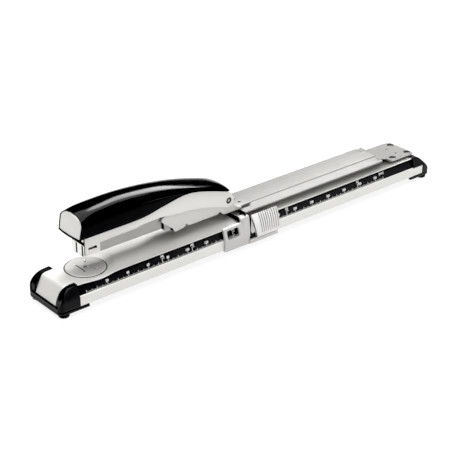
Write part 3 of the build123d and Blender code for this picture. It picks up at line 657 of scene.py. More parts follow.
def wing_ring(name, x_in, x_out, top, z_low, x_flat, z_flat):
    """Wings and end wall: follows the plan outline, leans in above z 14, rounds over at its top."""
    rows = []
    for x, y, nx, ny in cap_outline(x_in, x_out):
        zt = top(x)
        zb = z_low(x)
        lean = lambda z: 0.05 + max(0.0, z - 14.0) * 0.306
        r_ = min(1.15, 0.3 * max(zt - zb, 0.6))
        zw = zt - r_
        prof = [(lean(zb) + 1.4, zb + 0.05), (lean(zb) + 0.25, zb), (lean(zb + 0.3), zb + 0.3)]
        for k in range(1, 9):
            z = zb + 0.3 + (zw - zb - 0.3) * k / 8
            prof.append((lean(z), z))
        for k in range(1, 6):
            t = math.pi / 2 * k / 5
            prof.append((lean(zw) + r_ * (1 - math.cos(t)), zw + r_ * math.sin(t)))
        row = [(x - nx * i_, y - ny * i_, z) for i_, z in prof]
        ex, ey, ez = row[-1]
        d = 1 if x_out > x_in else -1
        if abs(y) > 14.9 and abs(ey) > 15.0:
            sgn = 1 if y > 0 else -1
            for f_ in (0.33, 0.66, 1.0):
                row.append((ex, ey + (sgn * 15.05 - ey) * f_, ez - 0.02 * f_))
            row.append((ex, sgn * 14.88, ez - 0.25))
            row.append((ex - d * 0.0, sgn * 14.88, max(min(ez - 1.6, ez - 0.3), zb + 0.2)))
        else:
            xi = x_flat
            for f_ in (0.33, 0.66, 1.0):
                row.append((ex + (xi - ex) * f_, ey, ez + (z_flat - ez) * f_))
            row.append((xi - d * 0.15, ey, z_flat - 0.25))
            row.append((xi - d * 0.15, ey, max(z_flat - 1.6, zb + 0.2)))
        rows.append(row)
    return loft(name, rows, close_v=True)


ftop = cubic([(-26.0, 9.15), (-25.6, 10.4), (-24.9, 12.9), (-22.6, 17.4), (-20.2, 20.2), (-17.6, 22.1), (-14.5, 23.3), (-11, 23.75), (-7, 23.9)])
cf = wing_ring("front_cap", -7.0, -26.0, ftop, lambda x: 6.02, -24.25, 9.2)
cl = lip_ring("front_cap_lip", 1.2, -26.0)
for o_ in (cf, cl):
    done(o_, "black", "base", ["front_end_cap"] if o_ is cf else [], angle=40)
rtop = cubic([(370, 23.9), (374, 23.7), (377.6, 22.9), (380.6, 21.0), (383.4, 18.4), (386.2, 15.6), (388.8, 12.8), (391.2, 10.2), (393.0, 8.9)])
cr = wing_ring("rear_cap", 370.0, 393.0, rtop, lambda x: 14.45 if x < 382.9 else 6.02, 391.3, 8.9)
cq = lip_ring("rear_cap_lip", 367.4, 393.0)
for o_ in (cr, cq):
    done(o_, "black", "base", ["rear_end_cap"] if o_ is cr else [], angle=40)

ft = []
for x_ in (-19.8, 386.0):
    for y_ in (-18.4, 18.4):
        ft.append(lathe("f", [(0, 0.12), (2.2, 0.12), (2.5, 0.0), (3.2, 0.0), (3.9, 0.22), (4.4, 0.8), (4.6, 1.6), (4.55, 2.6), (4.2, 3.05), (0, 3.05)], (x_, y_), n=48))
feet = join("feet", ft)
done(feet, "rubber", "base", ["rubber_feet"], angle=50)

# ---------------------------------------------------------------------- anvil
AZ = 24.3
disc = lathe("anvil_plate", [(0, 22.95), (16.2, 22.95), (16.5, 23.1), (16.5, 23.75), (16.35, 24.05), (16.05, 24.24), (15.7, AZ), (15.2, AZ), (0, AZ)], (14.1, 0), n=160)
cuts = []


def pit(x, y, rx, ry, depth, ang=0.0, n=28):
    rows = []
    for f_, h in ((1.0, AZ + 0.4), (1.0, AZ), (0.86, AZ - depth * 0.55), (0.55, AZ - depth * 0.92), (0.2, AZ - depth)):
        ring = []
        for k in range(n):
            t = 2 * math.pi * k / n
            u, w_ = rx * f_ * math.cos(t), ry * f_ * math.sin(t)
            ring.append((x + u * math.cos(ang) - w_ * math.sin(ang), y + u * math.sin(ang) + w_ * math.cos(ang), h))
        rows.append(ring)
    return loft("pit", rows, close_v=True)


def slot_box(x0, x1, y0, y1, z0, z1):
    return prism("sb", [(x0, y0), (x1, y0), (x1, y1), (x0, y1)], "xy", z0, z1)


for s_ in (-1, 1):
    cuts.append(pit(9.3, s_ * 5.9, 1.05, 0.95, 0.95))
    cuts.append(pit(18.4, s_ * 6.9, 1.1, 1.15, 1.0))
    cuts.append(pit(19.9, s_ * 9.2, 1.0, 2.0, 0.5))
cuts.append(slot_box(8.95, 9.95, -5.6, 5.6, AZ - 0.42, AZ + 1))
cuts.append(cyl("cc", "z", 2.35, (14.1, 0), AZ - 0.35, AZ + 1, n=48))
cuts.append(pit(17.6, -16.5, 1.5, 1.2, 0.9))
cut(disc, *cuts)
done(disc, "anvil", "anvil", ["anvil_disc"], angle=30)
# dark ring under the disc's edge: painted shade of the gap between disc and recess
gap = lathe("anvil_gap_painted_shade", [(16.55, 23.62), (17.25, 23.62), (17.3, 23.68), (17.2, 23.74), (16.6, 23.74)], (14.1, 0), n=120)
done(gap, "darksteel", "base", [])
# dark slot floor and dark discs in the pits and index notch: painted shade in the anvil's pockets
marks = [prism("mk", fil([(9.05, -5.5, 0.3), (9.85, -5.5, 0.3), (9.85, 5.5, 0.3), (9.05, 5.5, 0.3)], segs=3), "xy", AZ - 0.41, AZ - 0.33)]
for mx, my, mr in ((9.3, 5.9, 0.8), (9.3, -5.9, 0.8), (18.4, 6.9, 0.85), (18.4, -6.9, 0.85), (17.6, -16.5, 0.8)):
    marks.append(cyl("mk", "z", mr, (mx, my), AZ - 0.92, AZ - 0.62, n=20))
marks = join("anvil_pocket_painted_shade", marks)
done(marks, "darksteel", "anvil", [])
rv_ = lathe("anvil_rivet", [(0, AZ - 1.0), (2.1, AZ - 1.0), (2.1, AZ - 0.25), (1.95, AZ - 0.08), (1.5, AZ + 0.02), (0.5, AZ - 0.02), (0, AZ - 0.05)], (14.1, 0), n=48)
done(rv_, "steel", "anvil", [], angle=40)

# ------------------------------------------------------------------- long arm
arm_pts = [(-17.95, 29.75, 0.3), (-17.95, 31.25, 0.55), (-7.6, 31.42, 1.0), (-6.5, 32.35, 0.6), (6.5, 32.35, 0.6), (7.6, 31.42, 1.0),
           (17.95, 31.25, 0.55), (17.95, 29.75, 0.3)]
sec_ = fil(arm_pts, segs=4)
rows = []
ARM0, ARM1 = 165.0, 334.0
for x, d in ((ARM0, 0.55), (ARM0 + 0.12, 0.25), (ARM0 + 0.35, 0.08), (ARM0 + 0.7, 0.0), (ARM0 + 30, 0.0), (ARM0 + 90, 0.0), (ARM1 - 20, 0),
             (ARM1 - 0.7, 0.0), (ARM1 - 0.35, 0.08), (ARM1 - 0.12, 0.25), (ARM1, 0.55)):
    cz = 30.9
    rows.append([(x, y - math.copysign(min(d, abs(y)), y) if abs(y) > 16 else y, z - (d if z > cz else -d) * 0.9) for y, z in sec_])
arm = loft("arm_beam", rows, close_v=True)
# rounded plan corners where the flanges end
arm_cut = []
for s_ in (-1, 1):
    a0 = [(ARM1 - 4.0, s_ * 19.0), (ARM1 + 1, s_ * 19.0), (ARM1 + 1, s_ * 14.0)]
    arc = [(ARM1 - 4.0 + 4.0 * math.sin(t), s_ * (14.0 + 3.97 * math.cos(t))) for t in np.linspace(math.pi / 2, 0, 10)]
    pts = a0[:1] + a0[1:2] + [(ARM1 + 1, s_ * 14.0)] + arc
    if s_ < 0:
        pts = pts[::-1]
    arm_cut.append(prism("ac", pts, "xy", 28, 34))
cut(arm, *arm_cut)
bevel(arm, 0.22, 2, angle=50)
done(arm, "alu", "base", ["long_arm"], angle=30)

# thin strips along the rib's edges: painted shade of the rib's steps
ln = [prism("al", [(ARM0 + 2, y0), (ARM1 - 2, y0), (ARM1 - 2, y0 + 0.4), (ARM0 + 2, y0 + 0.4)], "xy", 32.32, 32.38) for y0 in (5.6, -6.0)]
ln = join("arm_rib_edge_shade_lines", ln)
done(ln, "steel", "base", [])

# ramp and screwed plate behind the beam, one sheet bent twice
ppath = [(331.0, 31.55), (334.5, 31.6)] + arc_path((335.0, 31.6), (338.3, 31.5), (345.6, 26.75), 1.6, 8)[1:-1] + \
    arc_path((341.0, 29.8), (346.0, 26.68), (352.0, 26.62), 1.8, 8)[1:] + [(360, 26.6), (370, 26.6), (376.4, 26.6)]
yy = [-16.7, -16.6, -16.3] + list(np.linspace(-15.8, 15.8, 25)) + [16.3, 16.6, 16.7]
rows = []
for x, z in ppath:
    row = []
    half = 17.3
    if x > 373.9:
        k = (x - 373.9) / 2.5
        half = 17.3 - 2.5 * (1 - math.sqrt(max(0.0, 1 - min(k, 1.0) ** 2)))
    narrow = 14.5 + 2.8 * sstep((x - 333.0) / 4.0)
    half = min(half, max(narrow, 8.2))
    for y in yy:
        yv = y * half / 16.7
        e_ = max(0.0, abs(y) - 16.3) / 0.4
        row.append((x, yv, z - 0.22 * e_ * e_))
    rows.append(row)
pl = loft("arm_rear_plate", rows, cap=False)
solidify(pl, 1.45)
hs_ = [lathe("h", [(0, 24), (1.7, 24), (1.7, 25.75), (3.05, 25.75), (3.05, 26.2), (3.35, 26.62), (3.35, 28), (0, 28)], c, n=40) for c in SCREWS]
cut(pl, *hs_)
done(pl, "plate", "base", [], angle=32)

scr = []
for c in SCREWS:
    head_ = lathe("s", [(0, 12), (1.45, 12), (1.45, 25.6), (2.85, 25.7), (2.9, 26.05), (2.6, 26.4), (2.0, 26.55), (0, 26.55)], c, n=40)
    a0 = [cyl("x", "z", 1.35, c, 25.85, 28, n=6)]
    cut(head_, *a0)
    scr.append(head_)
scr = join("plate_screws", scr)
done(scr, "darksteel", "base", ["arm_screws"], angle=35)
rvs = [lathe("r", [(0, 16), (0.95, 16), (0.95, 26.7), (0.7, 26.88), (0, 26.92)], (362.4, s_ * 5.9), n=28) for s_ in (-1, 1)]
rvs = join("plate_rivets", rvs)
done(rvs, "darksteel", "base", ["arm_rivets"], angle=35)

# -------------------------------------------------------------------- bracket
btop = curve2([(85.0, 50.2), (94, 49.9), (104, 49.5), (124, 48.6), (134, 48.9), (142, 50.4)], 5)
tip = curve2([(92.8, 36.6), (88.2, 40.2), (84.0, 43.4), (81.6, 45.9), (81.2, 47.6), (82.4, 49.4), (85.0, 50.2)], 5)
bpts = tip + btop[1:] + curve2([(142, 50.4), (147.5, 51.4), (152.6, 50.2), (156.4, 46.4), (157.6, 41.4), (158.6, 38.0), (161.0, 35.8), (166.0, 34.3)], 5)[1:] + \
    [(166.0, 32.4), (146.5, 32.4), (144.6, 33.9), (142.4, 36.4), (141.2, 36.2), (140.2, 34.6), (110.5, 34.4), (108.4, 34.9), (106.6, 36.9),
     (105.6, 36.2), (104.8, 34.3), (98.0, 33.4), (94.6, 33.2)]
bparts = []
for s_ in (-1, 1):
    a0, b0 = sorted((s_ * 10.35, s_ * 12.0))
    bparts.append(bevel(prism("bs", bpts, "xz", a0, b0), 0.4, 3, clamp=True))
brk = join("bracket_sides", bparts)
done(brk, "bracket", "base", ["head_bracket"], angle=35)
fl = prism("bracket_floor", [(99, 34.25), (150.2, 34.25), (150.2, 32.45), (177.8, 32.45), (177.8, 34.1), (166, 34.2), (160, 35.4), (99, 35.4)], "xz", -10.3, 10.3)
bevel(fl, 0.25, 2)
done(fl, "alu", "base", [])

# black panel in front of the mount block: painted shade where the arm shades the mount's front face
wl = prism("mount_front_painted_shade", [(-20.6, 24.9), (-12.2, 25.3), (-12.2, 31.6), (-17.6, 31.9), (-19.4, 30.2)], "yz", 163.4, 164.1)
bevel(wl, 0.15, 2)
done(wl, "black", "base", [])

# ------------------------------------------------- magazine housing side sheets
PLAN = cubic([(9, 9.3), (22, 9.55), (32, 10.35), (45, 11.75), (58, 12.8), (70, 13.2), (84, 13.2), (160, 13.2)])
ZLOW = cubic([(0.0, 56.8), (30, 57.0), (50, 57.15), (58, 57.45), (66, 58.3), (75.5, 60.2), (86.5, 62.3), (95, 64.0), (101, 64.75), (107, 64.9),
              (121, 62.6), (134, 59.0), (146, 55.1), (152, 53.3), (160, 51.2)])
top_run = [(x, ZLOW(x) - 0.12 - 0.52 * sstep((x - 98.0) / 8.0) * (1.0 - sstep((x - 132.0) / 8.0))) for x in np.arange(60, 148.1, 2.0)]
lobe = curve2([(150.2, 53.0), (153.2, 50.9), (155.4, 48.0), (156.5, 44.8), (155.3, 41.2), (152.3, 39.0), (149.0, 38.9), (146.5, 39.7)], 6)
low_run = curve2([(146.5, 39.7), (132.9, 43.8), (120.7, 46.7), (108.7, 48.4), (91.6, 50.0), (79, 51.4), (70, 51.2), (59, 50.5), (40, 49.15), (24.2, 47.95)], 5)
hpts = [(9.0, 58.5)] + [(x, 58.5) for x in (20, 40, 57)] + top_run + lobe[:-1] + low_run[1:] + [(22.7, 47.6), (22.7, 39.0), (22.2, 38.6), (9.0, 38.6)]
hparts = []
for s_ in (-1, 1):
    a0, b0 = sorted((s_ * 0.9, 0.0))
    o_ = prism("hs", hpts, "xz", a0, b0)
    if True:
        pivot_hole = cyl("ph", "y", 2.75, (150.9, 44.6), -3, 3, n=48)
        slot_ = [(12.6 + 0.85 * math.cos(t), 44.2 + 0.85 * math.sin(t)) for t in np.linspace(math.pi / 2, 3 * math.pi / 2, 10)] + \
                [(18.6 + 0.95 * math.cos(t), 44.2 + 0.95 * math.sin(t)) for t in np.linspace(-math.pi / 2, math.pi / 2, 10)]
        cut(o_, pivot_hole, prism("sl", slot_, "xz", -3, 3))
    bevel(o_, 0.28, 3)
    bm = bmesh.new()
    bm.from_mesh(o_.data)
    for x in list(np.arange(12, 84, 2.5)):
        geom = bm.verts[:] + bm.edges[:] + bm.faces[:]
        bmesh.ops.bisect_plane(bm, geom=geom, plane_co=P(float(x), 0, 0), plane_no=(1, 0, 0))
    bmesh.ops.triangulate(bm, faces=[f for f in bm.faces if len(f.verts) > 4])
    for v in bm.verts:
        x = v.co.x * 1000 + XC
        v.co.y += s_ * (PLAN(x) - 0.9) / 1000.0
    bm.to_mesh(o_.data)
    bm.free()
    hparts.append(o_)
hous = join("magazine_side_sheets", hparts)
done(hous, "silver", "magazine", ["magazine_housing"], angle=35)
roofp = [(13.5, -8.9), (22, -9.1), (32, -9.9), (45, -11.3), (58, -12.3), (76, -12.4), (76, 12.4), (58, 12.3), (45, 11.3), (32, 9.9), (22, 9.1), (13.5, 8.9)]
hr = prism("magazine_roof", roofp, "xy", 50.9, 51.9)
bevel(hr, 0.2, 2)
done(hr, "silver", "magazine", [])

# raised collar round the hinge hole, and the hollow hinge pin
col = []
for s_ in (-1, 1):
    y0 = s_ * 13.15
    col.append(lathe("c", [(3.9, y0), (3.75, y0 + s_ * 0.3), (3.4, y0 + s_ * 0.42), (3.05, y0 + s_ * 0.3), (2.78, y0 - s_ * 0.05), (2.72, y0 - s_ * 0.7),
                           (3.9, y0 - s_ * 0.7), (3.9, y0)], (150.9, 44.6), axis="y", n=64))
col = join("hinge_collars", col)
done(col, "silver", "magazine", [], angle=40)
pin = lathe("hinge_pin", [(0, -11.0), (1.55, -11.0), (1.6, -12.7), (1.8, -13.05), (2.3, -13.1), (2.58, -12.8), (2.6, -12.0), (2.6, 12.0), (2.58, 12.8),
                          (2.3, 13.1), (1.8, 13.05), (1.6, 12.7), (1.55, 11.0), (0, 11.0)], (150.9, 44.6), axis="y", n=56)
done(pin, "black", "base", ["pivot_pin"], angle=35)
pc = [lathe("pc", [(0, s_ * 13.06), (1.15, s_ * 13.06), (1.3, s_ * 13.0), (1.3, s_ * 12.6), (0, s_ * 12.6)], (150.9, 44.6), axis="y", n=40) for s_ in (-1, 1)]
pc = join("hinge_pin_centres", pc)
done(pc, "steel", "base", [])

# --------------------------------------------------------------- handle cover
CROWN = cubic([(-4, 71.9), (3, 74.4), (7, 75.9), (11, 76.9), (26, 78.3), (38, 78.9), (51, 78.6), (64, 77.6), (80, 75.8), (96, 73.0),
               (116, 68.4), (132, 64.2), (142, 61.1), (147, 59.0), (151, 56.5), (154.0, 53.2)])
CREASE = cubic([(-4, 67.0), (5, 68.4), (30, 70.0), (52, 70.6), (80, 69.5), (100, 67.0), (120, 63.4), (140, 57.7), (150, 54.6), (156, 52.6)])
HALFW = cubic([(-4, 15.1), (5, 15.1), (20, 15.1), (45, 15.15), (70, 15.2), (100, 15.2), (132, 15.2), (160, 15.2)])
XE = 153.9
S_TOP = 33


def arch_n(x):
    """Squareness of the crown's cross-section: boxier at the nose."""
    return 2.0 + 0.55 * max(0.0, 1.0 - max(x, 0.0) / 40.0) + 0.35 * sstep((x - 85.0) / 20.0)


def half_at(x):
    w_ = HALFW(x)
    if x > 141:
        k = min((x - 141.0) / (XE - 141.0), 1.0)
        w_ *= max(1e-3, (1 - k ** 4.0)) ** (1 / 4.0)
    return w_


def cover_section(sv, off=0.0):
    """One ring of the cover at sweep value sv; its front follows the leaning front edge."""
    def place(fy, fz):
        x = sv
        for _ in range(5):
            z = fz(x)
            x0 = 0.7 + (z - 56.8) * 0.196
            x = x0 + (sv - 0.7) * (XE - x0) / (XE - 0.7)
        return (x, fy(x), fz(x))
    out = []
    def zl(x):
        return ZLOW(x)
    def zc(x):
        return max(CREASE(x), zl(x) + 0.25) - off * 0.3
    def zt(x):
        k = max(0.0, (x - 150.0) / (XE - 150.0))
        return max(CROWN(x) - off, zc(x) + 0.35)
    def w(x):
        return max(half_at(x) - off, 0.02)
    ph0 = math.radians(27)
    def ay(x, ph):
        e_ = 2.0 / arch_n(x)
        return -w(x) * math.copysign(abs(math.cos(ph)) ** e_, math.cos(ph)) / math.cos(ph0) ** e_
    def az(x, ph):
        e_ = 2.0 / arch_n(x)
        return zc(x) + (zt(x) - zc(x)) * (math.sin(ph) ** e_ - math.sin(ph0) ** e_) / (1 - math.sin(ph0) ** e_)
    for k in range(6):                                  # near side wall
        f_ = k / 6
        out.append(place(lambda x, f_=f_: -(w(x) - 0.55 * (1 - f_) * min(1.0, (zc(x) - zl(x)) / 8.0)), lambda x, f_=f_: zl(x) + (zc(x) - zl(x)) * f_ * 0.985))
    for k in range(S_TOP):
        g = k / (S_TOP - 1)
        ph = ph0 + (math.pi - 2 * ph0) * g
        if k == 0:
            ph = ph0 + 0.012
        if k == S_TOP - 1:
            ph = math.pi - ph0 - 0.012
        out.append(place(lambda x, ph=ph: ay(x, ph), lambda x, ph=ph: az(x, ph)))
    for k in range(6):
        f_ = 1 - (k + 1) / 6
        out.append(place(lambda x, f_=f_: (w(x) - 0.55 * (1 - f_) * min(1.0, (zc(x) - zl(x)) / 8.0)), lambda x, f_=f_: zl(x) + (zc(x) - zl(x)) * f_ * 0.985))
    return out


svs = [0.7, 0.9, 1.3] + list(np.arange(2.2, 132, 2.2)) + list(np.arange(132, 146.5, 1.2)) + [146.9, 148.2, 149.3, 150.3, 151.2, 151.95, 152.55, 153.0, 153.35, 153.6, 153.77, 153.86, 153.9]
hc = loft("handle_cover_shell", [cover_section(float(s_)) for s_ in svs], cap=False)
solidify(hc, 0.55)
bevel(hc, 0.22, 2, angle=45)
done(hc, "gloss", "handle", ["handle_cover"], angle=42)

# silver end face in the cover's mouth: domed, rounded rim
def nose_outline():
    zc_, zt_, w_ = CREASE(3) - 0.3, CROWN(4.0) - 0.85, 14.35
    pts = []
    for k in range(0, 9):
        f_ = k / 8
        pts.append((-(w_ - 0.45 * (1 - f_)), 57.1 + (zc_ - 57.1) * f_))
    ph0 = math.radians(27)
    for k in range(1, 32):
        ph = ph0 + (math.pi - 2 * ph0) * k / 32
        e_ = 2.0 / arch_n(3.0)
        pts.append((-w_ * math.copysign(abs(math.cos(ph)) ** e_, math.cos(ph)) / math.cos(ph0) ** e_,
                    zc_ + (zt_ - zc_) * (math.sin(ph) ** e_ - math.sin(ph0) ** e_) / (1 - math.sin(ph0) ** e_)))
    for k in range(8, -1, -1):
        f_ = k / 8
        pts.append(((w_ - 0.45 * (1 - f_)), 57.1 + (zc_ - 57.1) * f_))
    for k in range(1, 16):
        pts.append((w_ - 0.45 - (2 * w_ - 0.9) * k / 16, 57.1))
    return pts


no = nose_outline()
cy, cz_ = 0.0, 66.5
rows = []
for s_, dx in ((1.0, 2.4), (1.0, 0.5), (0.992, 0.2), (0.97, 0.02), (0.93, -0.08), (0.8, -0.24), (0.6, -0.40), (0.4, -0.5), (0.2, -0.55), (0.02, -0.57)):
    rows.append([(0.7 + ((cz_ + (z - cz_) * s_) - 56.8) * 0.196 + 0.35 + dx - 1.1 * (1 - ((y - cy) * s_ / 14.35) ** 2) * (0.0 if dx > 1 else 1.0), cy + (y - cy) * s_, cz_ + (z - cz_) * s_) for y, z in no])
nc = loft("nose_face", rows, close_v=True)
done(nc, "silver", "handle", ["nose_cap"], angle=50)
# thin dark lip under the nose face, joining the cover's two lower front corners
rows = []
for k in range(25):
    y = -14.6 + 29.2 * k / 24
    xf = 0.55 - 1.35 * (1 - (y / 14.6) ** 2)
    rows.append([(xf, y, 56.95), (xf - 0.12, y, 56.6), (xf + 0.1, y, 56.2), (xf + 1.9, y, 56.2), (xf + 1.9, y, 57.05)])
lp = loft("nose_lip", rows, close_v=True)
done(lp, "gloss", "handle", [], angle=50)

# --------------------------------------------------------- magazine tray front
np_ = prism("tray_front", fil([(-8.2, 37.8, 0.5), (8.2, 37.8, 0.5), (8.2, 47.9, 0.8), (-8.2, 47.9, 0.8)], segs=3), "yz", 7.9, 8.9)
cc = []
for y0, y1 in ((0.6, 2.9), (-7.6, -5.2)):
    cc.append(prism("g", [(7.0, y0), (8.45, y0), (8.45, y1), (7.0, y1)], "xy", 38.4, 47.3))
cut(np_, *cc)
bevel(np_, 0.18, 2, angle=50)
done(np_, "chrome", "tray", ["nose_plate"], angle=35)
# dark strips on the groove floors: painted shade in the grooves
gr = []
for y0, y1 in ((0.7, 2.8), (-7.5, -5.3)):
    gr.append(prism("tray_front_groove", [(8.3, y0), (8.55, y0), (8.55, y1), (8.3, y1)], "xy", 38.45, 47.25))
gr = join("tray_front_groove_painted_shade", gr)
bevel(gr, 0.05, 1)
done(gr, "darksteel", "tray", [])

# lighter strip along the top of the tray's sides, a painted highlight on its top flange, with a darker strip above it
# as painted shade of the gap
gp = []
for s_ in (-1, 1):
    y0, y1 = sorted((s_ * 7.6, s_ * 8.28))
    gp.append(prism("tg", [(22.3, 47.4), (84.0, 48.7), (84.0, 49.6), (22.3, 48.3)], "xz", y0, y1))
gp = join("tray_side_gap_painted_shade", gp)
done(gp, "darksteel", "tray", [])
rl = []
for s_ in (-1, 1):
    y0, y1 = sorted((s_ * 7.7, s_ * 8.34))
    rl.append(prism("tr", fil([(22.3, 45.9, 0.3), (84.0, 47.3, 0.3), (84.0, 48.6, 0.3), (22.3, 47.3, 0.3)], segs=3), "xz", y0, y1))
rl = join("tray_side_rail_painted_highlight", rl)
bevel(rl, 0.2, 2)
done(rl, "silver", "tray", [], angle=35)

# ------------------------------------------------------------------ paper stop
def yz(pts, s_):
    return [(s_ * p[0], p[1]) + tuple(p[2:]) for p in pts]


out_pts = [(25.0, 4.6, 0.5), (25.0, 13.7, 0.7), (21.95, 24.5, 0.9), (20.3, 25.15, 0.3), (19.75, 24.6, 0.2), (19.9, 23.9, 0.2), (22.5, 15.1, 0.3), (23.45, 14.6, 0.3),
           (23.45, 5.9, 0.2), (21.65, 5.86, 0.1), (21.65, 4.6, 0.2)]
sp = []
for s_ in (-1, 1):
    o_ = prism("sf", fil(yz(out_pts, s_), segs=4), "yz", 137.5, 158.5)
    w0 = fil([(140.6, 14.9, 1.7), (153.4, 14.9, 1.7), (153.4, 22.7, 1.7), (140.6, 22.7, 1.7)], segs=6)
    if s_ < 0:
        cut(o_, prism("w", w0, "xz", -30, -15), prism("n", [(136.0, 4.0), (139.2, 4.0), (139.2, 4.9), (138.4, 5.6), (136.0, 5.6)], "xz", -30, -24.2))
    bevel(o_, 0.22, 2, angle=40)
    sp.append(o_)
st1 = join("stop_cheeks", sp)
done(st1, "splastic", "paper_stop", ["stop_body"], angle=35)

# arch that spans the base, with a soft front shoulder
ao = curve2([(25.0, 4.6), (25.0, 9.0), (24.9, 13.7), (23.9, 18.5), (22.4, 23.6), (21.4, 26.6), (19.9, 28.4), (17.6, 28.95), (15.6, 28.7), (13.6, 27.3)], 4)
ai = [(13.2, 25.6), (16.5, 25.2), (18.6, 24.9), (19.9, 23.9), (22.5, 15.1), (23.45, 14.6), (23.45, 5.9), (21.65, 5.86), (21.65, 4.6)]
half_out = ao + ai[:0]
full_out = [(-y, z) for y, z in ao] + [(-12, 27.0), (-6, 27.15), (0, 27.2), (6, 27.15), (12, 27.0)] + [(y, z) for y, z in reversed(ao)]
full_in = [(y, z) for y, z in reversed(ai)][::-1]
inner = [(21.65, 4.6), (21.65, 5.86), (23.45, 5.9), (23.45, 14.6), (22.5, 15.1), (19.9, 23.9), (18.6, 24.6), (12, 25.1), (0, 25.45), (-12, 25.1), (-18.6, 24.6), (-19.9, 23.9),
         (-22.5, 15.1), (-23.45, 14.6), (-23.45, 5.9), (-21.65, 5.86), (-21.65, 4.6)]
ring0 = full_out + inner
nO = len(full_out)
rows = []
for dx, inset in ((0.0, 1.5), (0.12, 1.05), (0.4, 0.6), (0.85, 0.25), (1.5, 0.04), (2.2, 0.0), (6.0, 0.0), (8.85, 0.0), (9.1, 0.12), (9.2, 0.35)):
    row = []
    for i, (y, z) in enumerate(ring0):
        if i < nO:
            a0, b0 = ring0[max(i - 1, 0)], ring0[min(i + 1, nO - 1)]
            t = Vector((b0[0] - a0[0], b0[1] - a0[1])).normalized()
            n_ = Vector((-t.y, t.x))
            if n_.dot(Vector((y, z - 12))) > 0:
                n_ = -n_
            lim = min(inset, 0.75 if abs(y) < 14 or z < 14 else inset)
            row.append((157.6 + dx - (max(0.0, 27.4 - max(z, 9.0)) * 0.14 if dx > 5 and y < -19 else 0.0), y + n_.x * lim, z + n_.y * lim))
        else:
            row.append((157.6 + dx - (max(0.0, 27.4 - max(z, 9.0)) * 0.14 if dx > 5 and y < -19 else 0.0), y, z))
    rows.append(row)
ar = loft("stop_arch", rows, close_v=True)
done(ar, "splastic", "paper_stop", [], angle=45)
wall = prism("stop_wall", [(-19.4, 24.55), (-12, 25.35), (0, 25.6), (12, 25.35), (19.4, 24.55), (18.9, 27.5), (17.5, 28.9), (15.6, 29.1), (13.2, 28.4), (-13.2, 28.4), (-15.6, 29.1), (-17.5, 28.9), (-18.9, 27.5)], "yz", 156.9, 157.6)
bevel(wall, 0.15, 2)
done(wall, "black", "paper_stop", [])
lens = prism("stop_lens", fil([(140.2, 14.6, 1.7), (153.8, 14.6, 1.7), (153.8, 22.9, 1.7), (140.2, 22.9, 1.7)], segs=6), "xz", -0.5, 0.0)
for v in lens.data.vertices:
    z = v.co.z * 1000
    y0 = -(25.0 - 0.28 - (z - 13.7) * (25.0 - 21.95) / (24.5 - 13.7))
    v.co.y = (y0 + (0.0 if v.co.y < -0.0002 else 0.5)) / 1000.0
bevel(lens, 0.1, 2)
done(lens, "clear", "paper_stop", ["stop_window"])

# ribbed squeeze grip
G = curve2([(26.15, 8.3), (26.25, 11.0), (26.0, 14.5), (25.3, 18.6), (24.2, 22.4), (22.9, 25.6), (21.0, 28.4)], 5)
GX0, GX1 = 169.2, 197.5
cols = [GX0 + 0.0, GX0 + 0.15, GX0 + 0.4] + list(np.arange(170.0, 197.2, 0.2)) + [197.3, 197.45, 197.5]
outer_rows, inner_rows = [], []
for x in cols:
    x = float(x)
    ro, ri = [], []
    edge = 0.0
    if x > 197.2:
        edge = 0.45 * ((x - 197.2) / 0.3) ** 2
    if x < 169.6:
        edge = 0.35 * ((169.6 - x) / 0.4) ** 2
    for i, (y, z) in enumerate(G):
        a0, b0 = G[max(i - 1, 0)], G[min(i + 1, len(G) - 1)]
        t = Vector((b0[0] - a0[0], b0[1] - a0[1])).normalized()
        n_ = Vector((t.y, -t.x))                       # outward
        rib = 0.0
        if x > 175.6:
            amp = 0.75 + 0.2 * sstep((x - 175.6) / 14.0)
            ph = (x - 175.6) / 2.42
            fade = min(1.0, max(0.0, (z - 8.6) / 2.2))
            rib = amp * (0.5 - 0.5 * math.cos(2 * math.pi * ph)) ** 2.2 * fade
            if x > 175.6 + 2.42 * 9:
                rib = 0.0
        d = -rib - edge
        # the front edge leans: cut back towards the bottom
        xs_ = x + (1 - (x - GX0) / (GX1 - GX0)) ** 3 * max(0.0, (24.5 - z)) * 0.20
        ro.append((xs_, -(y + n_.x * d), z + n_.y * d))
        ri.append((xs_, -(y - n_.x * 1.15), z - n_.y * 1.15))
    outer_rows.append(ro + ri[::-1])
grip = loft("stop_grip_shell", outer_rows, close_v=True)
done(grip, "grip", "stop_grip", ["stop_grip"], angle=50)

# dark strips on the floors of the grooves between the ribs: painted shade in the grooves
gs = []
for k in range(9):
    xk = 175.6 + 2.42 * (k + 0.5)
    amp = 0.75 + 0.2 * sstep((xk - 175.6) / 14.0)
    rows = []
    for i, (y, z) in enumerate(G):
        if z < 10.8:
            continue
        a0, b0 = G[max(i - 1, 0)], G[min(i + 1, len(G) - 1)]
        t = Vector((b0[0] - a0[0], b0[1] - a0[1])).normalized()
        n_ = Vector((t.y, -t.x))
        lean_ = (1 - (xk - GX0) / (GX1 - GX0)) ** 3 * max(0.0, (24.5 - z)) * 0.20
        hw = 0.34 * min(1.0, 0.25 + (z - 10.8) / 2.0)
        d0, d1 = -amp * 0.74, -amp * 0.74 - 0.25
        rows.append([(xk + lean_ - hw, -(y + n_.x * d0), z + n_.y * d0), (xk + lean_ + hw, -(y + n_.x * d0), z + n_.y * d0),
                     (xk + lean_ + hw, -(y + n_.x * d1), z + n_.y * d1), (xk + lean_ - hw, -(y + n_.x * d1), z + n_.y * d1)])
    gs.append(loft("gs", rows, close_v=True))
gs = join("grip_groove_painted_shade", gs)
done(gs, "rubber", "stop_grip", [], angle=40)

